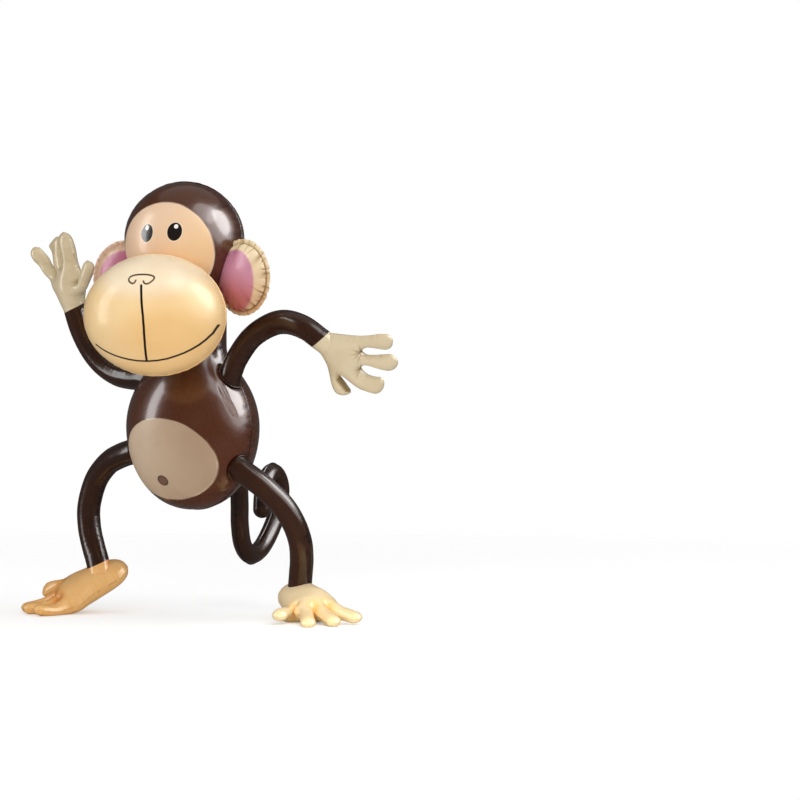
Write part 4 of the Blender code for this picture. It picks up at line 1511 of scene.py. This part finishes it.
@dataclass(frozen=True)
class HeadGroup:
    """Head, muzzle and ears with their prints.

    Attributes:
        centre: Middle of the head.
        yaw: Turn of the head in degrees.
        muzzle_yaw: Turn of the muzzle in degrees.
        muzzle_bearing: Direction from the head's middle to the muzzle's, in degrees.
        muzzle_reach: Distance that way from the head's middle to the muzzle's.
        muzzle_drop: How far the muzzle's middle lies below the head's.
        ear_drop: How far the ears' middles lie below the head's.
        face: Patch round the eyes.
        eyes: The two eyes.
        glints: Printed light spots in the eyes.
        nose: Line of the nose.
        philtrum: Line from the nose to the mouth.
        mouth: Line of the mouth.
    """

    centre: Triple = (3.0, -23.0, 374.0)
    yaw: float = 17.0
    muzzle_yaw: float = 19.0
    muzzle_bearing: float = 10.0
    muzzle_reach: float = 68.5
    muzzle_drop: float = 73.5
    ear_drop: float = 37.0
    face: Oval = Oval((-5.5, -11.0), (47.0, 46.0))
    eyes: tuple[Oval, Oval] = (Oval((-22.2, 5.6), (6.5, 8.8), 13.0), Oval((6.8, 6.9), (7.2, 8.9), 11.0))
    glints: tuple[Oval, Oval] = (Oval((-22.1, 10.8), (1.8, 2.4), 10.0), Oval((8.2, 12.0), (2.0, 2.1)))
    nose: Stroke = Stroke(((1.5, 32.8), (2.6, 31.0), (4.3, 30.2), (6.3, 30.3), (8.2, 31.4), (10.6, 33.6),
                           (11.6, 35.7), (10.6, 37.3), (8.3, 38.2), (4.5, 38.9), (0.6, 39.1), (-4.6, 39.0),
                           (-9.0, 38.3), (-12.3, 37.0), (-13.6, 34.8), (-12.9, 32.7), (-11.0, 31.2),
                           (-8.5, 30.4), (-6.8, 31.4), (-6.1, 33.5)), 1.6)
    philtrum: Stroke = Stroke(((0.2, 28.6), (1.4, 20.0), (2.5, 10.9), (3.9, 0.0), (4.5, -11.0), (4.2, -24.0),
                               (3.4, -34.0), (2.5, -42.6)), 2.3)
    mouth: Stroke = Stroke(((-50.8, -27.9), (-43.9, -32.2), (-36.5, -35.7), (-29.0, -38.5), (-21.2, -40.6),
                            (-13.9, -42.1), (-6.4, -43.1), (3.0, -43.4), (12.5, -42.7), (21.9, -41.0),
                            (31.0, -38.1), (38.0, -35.3), (44.3, -32.1), (51.1, -27.8), (56.9, -22.9),
                            (62.6, -16.7), (66.8, -9.1)), 1.6)

    def head(self) -> Pillow:
        """Chamber of the head."""
        folds = (Puckers(6.0, 0.7, 0.9, 10.0, 3, 0.0, 0.6), Puckers(15.0, 0.45, 1.6, 20.0, 4, 0.0, 0.35))
        return Pillow(half_width=59.0, up=56.0, down=66.0, front=55.0, back=55.0, yaw=math.radians(self.yaw),
                      centre=self.centre, flange=0.9, flange_wave=0.15, ripple=0.1, puckers=folds)

    def muzzle(self) -> Pillow:
        """Chamber of the muzzle."""
        bearing, reach = math.radians(self.muzzle_bearing), self.muzzle_reach
        centre = (self.centre[0] + math.sin(bearing) * reach, self.centre[1] - math.cos(bearing) * reach,
                  self.centre[2] - self.muzzle_drop)
        folds = (Puckers(5.0, 0.6, 0.8, 6.0, 13, 0.0, 0.3), Puckers(15.0, 0.5, 1.6, 13.0, 14, 0.0, 0.1))
        return Pillow(half_width=70.0, up=58.0, down=58.0, front=57.0, back=40.0,
                      yaw=math.radians(self.muzzle_yaw), centre=centre, flange=0.8, flange_wave=0.15,
                      ripple=0.1, puckers=folds)

    def ear(self, side: Side) -> Pillow:
        """Chamber of one ear."""
        ear = EARS[side]
        yaw = math.radians(ear.yaw)
        centre = (self.centre[0] + math.cos(0.3 * yaw) * ear.reach,
                  self.centre[1] + math.sin(0.3 * yaw) * ear.reach, self.centre[2] - self.ear_drop)
        folds = (Puckers(8.5, ear.depth, 0.62, 12.0, 23 + side.value, ear.depth, ear.fold_shade),
                 Puckers(19.0, 0.6, 1.6, 14.0, 27 + side.value, 0.0, ear.fold_shade))
        return Pillow(half_width=ear.weld, up=ear.weld, down=ear.weld, front=11.2, back=11.2, yaw=yaw,
                      centre=centre, flange=ear.edge, flange_wave=0.06, ripple=0.5, puckers=folds,
                      rows=56, line=ear.line)

    def head_material(self, shop: Workshop) -> bpy.types.Material:
        """Brown film with the face patch and the eyes."""
        desk = shop.desk("head_film")
        patch = desk.oval(self.face)
        warm = desk.soft(desk.math("SUBTRACT", desk.x, desk.z), -40.0, 55.0)
        skin = desk.mix(warm, srgb(236, 200, 166), srgb(236, 196, 147))
        colour = desk.mix(desk.filled(patch, 0.9), BROWN_FILM.colour, srgb(240, 214, 182))
        colour = desk.mix(desk.filled(patch, -0.5), colour, skin)
        deep = desk.mix(desk.filled(patch), BROWN_FILM.shade, skin)
        glossy = []
        for eye, glint in zip(self.eyes, self.glints):
            gap = desk.oval(eye)
            glossy.append(desk.filled(gap))
            for mask, ink in ((desk.filled(gap, 0.8), EYE_RIM), (glossy[-1], EYE_INK),
                              (desk.filled(desk.oval(glint)), EYE_GLINT)):
                colour, deep = desk.mix(mask, colour, ink), desk.mix(mask, deep, ink)
        matt = desk.math("SUBTRACT", desk.filled(patch), desk.math("MAXIMUM", *glossy))
        gloss = desk.soft(matt, 0.0, 1.0, BROWN_FILM.gloss, 0.36)
        return desk.finish(colour, deep, BROWN_FILM, gloss, desk.soft(matt, 0.0, 1.0, BROWN_FILM.coat, 0.25))

    def muzzle_material(self, shop: Workshop) -> bpy.types.Material:
        """Cream film with an orange oval that is partly sprayed and partly painted shade, painted shade along
        the bottom, painted light at the top, and the lines of nose and mouth.
        """
        desk = shop.desk("muzzle_film")
        # The orange oval low in the middle is partly sprayed tone and partly painted shade, the deeper band
        # along the bottom is painted shade, and the pale oval at the top is painted light.
        shade = desk.filled(desk.oval(Oval((26.0, -20.0), (44.0, 26.0))), 0.0, 18.0)
        painted_top_light = desk.filled(desk.oval(Oval((2.0, 42.0), (52.0, 22.0))), 0.0, 16.0)
        low = desk.soft(desk.z, -52.0, -36.0, 1.0, 0.0)
        colour = CREAM_FILM.colour
        for mask, share, tone in ((shade, 0.8, srgb(236, 188, 122)), (painted_top_light, 0.8, srgb(255, 239, 210)),
                                  (low, 0.5, srgb(242, 194, 126))):
            colour = desk.mix(desk.math("MULTIPLY", mask, share), colour, tone)
        ink = srgb(26, 14, 9)
        lines = desk.math("MAXIMUM", desk.stroke(self.mouth), desk.stroke(self.philtrum))
        nose = desk.stroke(self.nose)
        colour = desk.mix(lines, desk.mix(nose, colour, srgb(58, 40, 20)), ink)
        deep = desk.mix(0.18, colour, desk.mix(lines, srgb(214, 158, 98), ink))
        return desk.finish(colour, deep, CREAM_FILM)

    def ear_material(self, shop: Workshop, side: Side) -> bpy.types.Material:
        """Pale rim film with the sprayed pink field.

        Args:
            shop: Workshop that makes the pieces.
            side: Side of the ear; the right one, which the head shades, is coloured deeper as painted shade.

        Returns:
            The material.
        """
        ear = EARS[side]
        desk = shop.desk("ear_film_" + side.name.lower())
        lower = desk.mix(desk.soft(desk.x, -22.0, 20.0), srgb(206, 111, 90), srgb(185, 105, 107))
        pink = desk.mix(desk.soft(desk.z, -26.0, 8.0), lower, ear.pink)
        rim = desk.mix(desk.soft(desk.z, -34.0, 30.0), *ear.rim)
        colour = desk.mix(desk.filled(desk.oval(ear.blush), edge=1.6), rim, pink)
        return desk.finish(colour, desk.mix(0.12, colour, srgb(150, 90, 70)), EAR_FILM)

    def build(self, shop: Workshop) -> None:
        """Make head, muzzle and ears."""
        shop.piece("head_chamber", self.head().shell(), "head", Slot.BROWN, self.head_material(shop))
        shop.piece("muzzle_chamber", self.muzzle().shell(), "muzzle", Slot.CREAM, self.muzzle_material(shop))
        for side in Side:
            name = "ear_" + side.name.lower()
            shop.piece(name + "_pad", self.ear(side).shell(), name, Slot.EAR, self.ear_material(shop, side))


@dataclass(frozen=True)
class TorsoGroup:
    """Torso with its belly patch and navel."""

    torso: Torso = Torso()
    belly: Oval = Oval((-1.5, 159.5), (52.0, 40.0))
    navel: Oval = Oval((-4.3, 138.7), (6.3, 5.1), 8.0)

    def material(self, shop: Workshop) -> bpy.types.Material:
        """Brown film with the belly patch, painted shade across it, and the navel."""
        desk = shop.desk("torso_film")
        patch = desk.oval(self.belly)
        # Painted shade: the belly print darkens toward the figure's left side (+X) and is lighter toward its
        # right.
        across = desk.soft(desk.x, -48.0, 48.0)
        skin = desk.mix(across, srgb(208, 182, 154), srgb(162, 136, 110))
        colour = desk.mix(desk.filled(patch, 0.8), BROWN_FILM.colour, srgb(200, 176, 148))
        colour = desk.mix(desk.filled(patch, -0.4), colour, skin)
        printed = desk.filled(patch)
        deep = desk.mix(printed, BROWN_FILM.shade, desk.mix(0.25, skin, srgb(150, 118, 88)))
        ring = desk.oval(self.navel)
        inner = desk.mix(desk.filled(ring, -1.2, 0.9), srgb(74, 46, 34), srgb(112, 80, 62))
        dot = desk.filled(ring)
        gloss = desk.soft(printed, 0.0, 1.0, BROWN_FILM.gloss, 0.42)
        coat = desk.soft(printed, 0.0, 1.0, BROWN_FILM.coat, 0.0)
        return desk.finish(desk.mix(dot, colour, inner), desk.mix(dot, deep, inner), BROWN_FILM, gloss, coat)

    def build(self, shop: Workshop) -> None:
        """Make the torso, with a crease round each tube that leaves it."""
        roots = ((ARM_LEFT_PATH, ARM_RADIUS), (ARM_RIGHT_PATH, ARM_RADIUS), (LEG_LEFT_PATH, LEG_RADIUS),
                 (LEG_RIGHT_PATH, LEG_RADIUS), (TAIL_PATH, TAIL_RADIUS))
        shell = replace(self.torso, roots=roots).shell()
        shop.piece("torso_chamber", shell, "torso", Slot.BROWN, self.material(shop))


@dataclass(frozen=True)
class Border:
    """Plane where a limb's dark film ends.

    Attributes:
        at: A point on it.
        way: Direction toward the hand or foot.
        name: Name of the limb's material.
        film: Film beyond the border.
    """

    at: Triple
    way: Triple
    name: str
    film: Film

    def dress(self, shop: Workshop, shell: Shell) -> bpy.types.Material:
        """Mark how far each point of a shell lies beyond the border.

        Args:
            shop: Workshop that makes the pieces.
            shell: Surface of the limb or hand, which gets the marks.

        Returns:
            Its material, dark up to the border, made once for each name.
        """
        shell.fields["border"] = (shell.points - np.array(self.at)) @ unit(np.array(self.way))
        if self.name not in shop.shared:
            desk = shop.desk(self.name)
            border = desk.node("ShaderNodeAttribute", attribute_name="border").outputs["Fac"]
            mask = desk.soft(border, -0.35, 0.35)
            colour = desk.mix(mask, DARK_FILM.colour, self.film.colour)
            deep = desk.mix(mask, DARK_FILM.shade, self.film.shade)
            gloss = desk.soft(mask, 0.0, 1.0, DARK_FILM.gloss, self.film.gloss)
            shop.shared[self.name] = desk.finish(colour, deep, self.film, gloss)
        return shop.shared[self.name]


BORDERS = {"arm_left": Border((156.5, -16.3, 278.0), (0.547, 0.369, -0.75), "wrist_film", HAND_FILM),
           "arm_right": Border((-143.0, -4.3, 306.0), (-0.37, -0.249, 0.895), "wrist_film", HAND_FILM),
           # The right leg's end takes the right foot's painted-shade film.
           "leg_right": Border((-119.3, 2.6, 48.5), (0.358, 0.203, -0.911), "ankle_shaded_film", SHADED_FOOT_FILM)}


@dataclass(frozen=True)
class LimbGroup:
    """Arms, legs and tail: tubes with the weld edges where they leave the torso.

    Attributes:
        body: Shape of the torso.
        edge: Half thickness of those weld edges.
        lip: How far they stand out from the tubes.
    """

    body: Pear = Pear()
    edge: float = 0.5
    lip: float = 2.2

    def build(self, shop: Workshop) -> None:
        """Make the five tubes."""
        across, forward = (1.0, 0.0, 0.0), (0.0, 1.0, 0.0)
        tubes = {"arm_left": Tube(ARM_LEFT_PATH, ARM_RADIUS, forward, 101, True, 0.6),
                 "arm_right": Tube(ARM_RIGHT_PATH, ARM_RADIUS, forward, 111, True, 0.6),
                 "leg_left": Tube(LEG_LEFT_PATH, LEG_RADIUS, forward, 121, False),
                 "leg_right": Tube(LEG_RIGHT_PATH, LEG_RADIUS, forward, 131, False),
                 "tail": Tube(TAIL_PATH, TAIL_RADIUS, across, 141, True, 0.12, 60)}
        for name, tube in tubes.items():
            shell = tube.shell().with_shell(tube.collar(self.body, self.edge, self.lip))
            border = BORDERS.get(name)
            film = border.dress(shop, shell) if border else shop.plain("limb_film", DARK_FILM)
            shop.piece(name + "_tube", shell, name, Slot.DARK, film)


@dataclass(frozen=True)
class PadGroup:
    """Hands and feet."""

    hand_left: HandPlace = HandPlace((156, -17, 277.5), (0.95, 0.31, 0.0), (-0.22, 0.33, -0.93))
    hand_right: HandPlace = HandPlace((-143, -4, 304), (-0.02, -0.17, 0.985), (0.93, -0.37, 0.0))
    foot_left: FootPlace = FootPlace((73.6, 57.8, 25.8), (0.833, -0.554), (11.3, 8.7), (26.0, 4.0),
                                     (45, 71), -1)
    foot_right: FootPlace = FootPlace((-100.7, 22.8, 46.6), (-0.638, -0.77), (27.4, -3.7), (-15.0, 2.5),
                                      (63, 106), -1)

    def foot_material(self, shop: Workshop, side: Side) -> bpy.types.Material:
        """Peach film that deepens toward the toes' tips; the right foot's is deeper all over, as painted
        shade.

        Args:
            shop: Workshop that makes the pieces.
            side: Foot that it is for.

        Returns:
            The material.
        """
        desk = shop.desk("foot_film_" + side.name.lower())
        toes = desk.math("MULTIPLY", desk.soft(desk.x, 58.0, 100.0), 0.55)
        film, tips = FOOT_FILM, srgb(255, 222, 160)
        # Painted shade: the right foot takes the deeper film and deeper tips all over.
        if side is Side.RIGHT:
            film, tips = SHADED_FOOT_FILM, srgb(250, 192, 114)
        colour = desk.mix(toes, film.colour, tips)
        return desk.finish(colour, desk.mix(0.3, colour, film.shade), film)

    def build(self, shop: Workshop) -> None:
        """Make the two hands and the two feet."""
        waving = Pad(HAND_RIGHT_PLAN, swell=1.04, cap=17.0, fork_depth=0.8, fans=(0.3, 0.5, 0.2))
        hands = (("left", Pad(HAND_LEFT_PLAN), self.hand_left), ("right", waving, self.hand_right))
        for side, pad, place in hands:
            shell = pad.shell(place)
            film = BORDERS["arm_" + side].dress(shop, shell)
            shop.piece("hand_" + side + "_pad", shell, "hand_" + side, Slot.HAND, film)
        for side, place in ((Side.LEFT, self.foot_left), (Side.RIGHT, self.foot_right)):
            name = "foot_" + side.name.lower()
            folds = (Puckers(6.5, 0.25, 0.9, 5.0, 81 + side.value, 0.0, 0.15),)
            pad = Pad(FOOT_PLAN, swell=0.9, fullness=0.8, cap=18.0, corner=3.0, fans=(0.6, 0.6, 0.5),
                      blush=0.8, puckers=folds)
            shop.piece(name + "_pad", pad.shell(place), name, Slot.FOOT, self.foot_material(shop, side))


@dataclass(frozen=True)
class Lamp:
    """Soft box that faces the figure.

    Attributes:
        name: Its name.
        way: Direction from the figure as right, up and toward the camera.
        far: Distance in metres.
        size: Width and height in metres. A wide lamp is an ellipse.
        power: Power in watts.
        mirrored: Whether the film shows its reflection and nothing else of it; if not, it lights
            the film's colours alone.
        shift: Metres right, up and toward the camera from the figure's middle to what it faces.
    """

    name: str
    way: Triple
    far: float
    size: Pair
    power: float
    mirrored: bool = False
    shift: Triple = (0.0, 0.0, 0.0)


LAMPS = (
    Lamp("key_light", (0.62, 0.70, 0.50), 2.6, (2.4, 2.4), 12.0),
    Lamp("front_fill", (-0.20, 0.10, 1.0), 4.2, (2.6, 2.6), 62.0),
    Lamp("top_fill", (0.0, 1.0, 0.05), 2.8, (2.4, 2.4), 8.0),
    Lamp("foot_fill", (0.2, 0.25, 0.95), 0.3, (0.15, 0.15), 0.22, shift=(0.15, -0.27, 0.03)),
    Lamp("key_mirror", (0.83, 0.54, 0.15), 2.5, (1.4, 2.0), 46.0, True),
    Lamp("soft_mirror", (0.85, 0.44, 0.28), 2.6, (2.8, 2.8), 46.0, True),
    Lamp("halo_mirror", (0.85, 0.44, 0.30), 2.7, (4.2, 3.4), 24.0, True),
    Lamp("shoulder_mirror", (0.46, 0.79, 0.41), 2.65, (1.8, 1.8), 22.0, True),
    Lamp("top_mirror", (0.1, 1.0, -0.10), 2.8, (4.0, 4.0), 9.0, True),
    Lamp("left_mirror", (-0.951, 0.29, 0.10), 2.6, (0.78, 2.4), 34.0, True))


@dataclass(frozen=True)
class Studio:
    """Camera, lights, floor and surroundings.

    Attributes:
        azimuth: Direction of the camera round the figure, in degrees.
        elevation: Height of the camera over the target, in degrees.
        distance: Distance from the target in metres.
        target: Point of the grid that the framing is measured from.
        lens: Focal length in millimetres.
        pan: Turn of the camera to its right, in degrees.
        tilt: Turn of the camera upward, in degrees.
        white: Brightness of the surroundings to the camera.
        around: Brightness of the surroundings in the film's reflections.
        daylight: Brightness of the surroundings that lights the colours.
        lift: How much brighter than its own light the floor looks.
    """

    azimuth: float = 34.0
    elevation: float = 2.0
    distance: float = 5.6
    target: Triple = (0.0, 0.0, 215.0)
    lens: float = 159.3
    pan: float = 3.3135
    tilt: float = 0.0154
    white: float = 1.0
    around: float = 0.08
    daylight: float = 0.59
    lift: float = 0.30

    def axes(self) -> tuple[Vector, Vector, Vector]:
        """Right, up and toward-the-camera directions of the photographed view."""
        a, e = math.radians(self.azimuth), math.radians(self.elevation)
        toward = Vector((math.sin(a) * math.cos(e), -math.cos(a) * math.cos(e), math.sin(e)))
        right = Vector((math.cos(a), math.sin(a), 0.0))
        return right, toward.cross(right), toward

    def camera(self, layout: Layout) -> None:
        """Camera at the photographed angle, turned aside so that the figure stands left of centre."""
        right, up, toward = self.axes()
        aim = Vector(layout.room(np.array(self.target)))
        pan, tilt = math.radians(self.pan), math.radians(self.tilt)
        look = (-toward * math.cos(pan) + right * math.sin(pan)) * math.cos(tilt) + up * math.sin(tilt)
        side = look.cross(up).normalized()
        over = side.cross(look).normalized()
        data = bpy.data.cameras.new("camera")
        data.lens = self.lens
        data.sensor_width = 36.0
        data.clip_end = 50.0
        made = placed("camera", data)
        turn = Matrix((side, over, -look)).transposed().to_4x4()
        made.matrix_world = Matrix.Translation(aim + toward * self.distance) @ turn
        bpy.context.scene.camera = made

    def lamp(self, lamp: Lamp, layout: Layout) -> None:
        """Set up one lamp."""
        axes = self.axes()
        aim = Vector(layout.room(np.array(self.target)))
        for axis, step in zip(axes, lamp.shift):
            aim += axis * step
        ray = sum((axis * share for axis, share in zip(axes, lamp.way)), Vector()).normalized()
        data = bpy.data.lights.new(lamp.name, "AREA")
        data.shape = "ELLIPSE" if lamp.size[0] > 1.0 else "RECTANGLE"
        data.size, data.size_y = lamp.size
        data.energy = lamp.power
        made = placed(lamp.name, data)
        side = Vector((0.0, 0.0, 1.0)).cross(ray).normalized()
        turn = Matrix((side, ray.cross(side), ray)).transposed().to_4x4()
        made.matrix_world = Matrix.Translation(aim + ray * lamp.far) @ turn
        made.visible_diffuse = not lamp.mirrored
        made.visible_glossy = lamp.mirrored

    def floor(self) -> None:
        """Pale round floor that fades out into the white surroundings and stays dim in the film."""
        turn = np.linspace(0.0, 2 * math.pi, 96, endpoint=False)
        reach = np.array((0.4, 0.8, 1.2, 1.6, 2.0, 2.6))
        points = np.stack([reach[:, None] * np.cos(turn), reach[:, None] * np.sin(turn),
                           np.zeros((len(reach), len(turn)))], axis=-1).reshape(-1, 3)
        index = np.arange(len(points)).reshape(len(reach), len(turn))
        quads = ring_quads(index)[:-1].reshape(-1, 4)[:, (0, 3, 2, 1)]
        mesh = bpy.data.meshes.new("floor")
        mesh.from_pydata(points.tolist(), [], quads.tolist() + [index[0].tolist()])
        made = placed("floor", mesh)
        material = bpy.data.materials.new("floor_paper")
        material.use_nodes = True
        bench = Bench(material.node_tree)
        place = bench.node("ShaderNodeTexCoord").outputs["Object"]
        size = bench.node("ShaderNodeVectorMath", (place,), operation="LENGTH").outputs["Value"]
        rays = bench.node("ShaderNodeLightPath").outputs
        grey = bench.mix(rays["Is Glossy Ray"], (0.93, 0.93, 0.93, 1.0), (0.16, 0.16, 0.16, 1.0))
        diffuse = bench.node("ShaderNodeBsdfDiffuse", {"Color": grey}).outputs[0]
        bright = bench.math("MULTIPLY", rays["Is Camera Ray"], self.lift)
        glow = bench.node("ShaderNodeEmission", {"Strength": bright}).outputs[0]
        paper = bench.node("ShaderNodeAddShader", (diffuse, glow)).outputs[0]
        clear = bench.node("ShaderNodeBsdfTransparent").outputs[0]
        blend = bench.node("ShaderNodeMixShader", (bench.soft(size, 0.9, 2.2), paper, clear)).outputs[0]
        bench.node("ShaderNodeOutputMaterial", {"Surface": blend})
        mesh.materials.append(material)

    def world(self) -> None:
        """Surroundings: white where the camera looks, dim for the film's reflections."""
        made = bpy.data.worlds.new("studio")
        bpy.context.scene.world = made
        made.use_nodes = True
        bench = Bench(made.node_tree)
        rays = bench.node("ShaderNodeLightPath").outputs
        strength = self.around
        for ray, bright in (("Is Camera Ray", self.white), ("Is Diffuse Ray", self.daylight)):
            strength = bench.math("MULTIPLY_ADD", rays[ray], bright - self.around, strength)
        light = bench.node("ShaderNodeBackground", {"Color": (1.0, 1.0, 1.0, 1.0), "Strength": strength})
        bench.node("ShaderNodeOutputWorld", {"Surface": light.outputs[0]})

    def build(self, layout: Layout) -> None:
        """Set up the whole studio."""
        self.camera(layout)
        self.floor()
        self.world()
        for lamp in LAMPS:
            self.lamp(lamp, layout)
        scene = bpy.context.scene
        scene.view_settings.view_transform = "Standard"
        scene.view_settings.look = "None"


def main() -> None:
    """Load the frame and build the figure and its studio."""
    logging.basicConfig(level=logging.INFO, format="%(message)s")
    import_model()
    layout = Layout()
    Studio().build(layout)
    shop = Workshop(layout)
    for group in (HeadGroup(), TorsoGroup(), LimbGroup(), PadGroup()):
        LOG.info("building %s", type(group).__name__)
        group.build(shop)


if __name__ == "__main__":
    main()
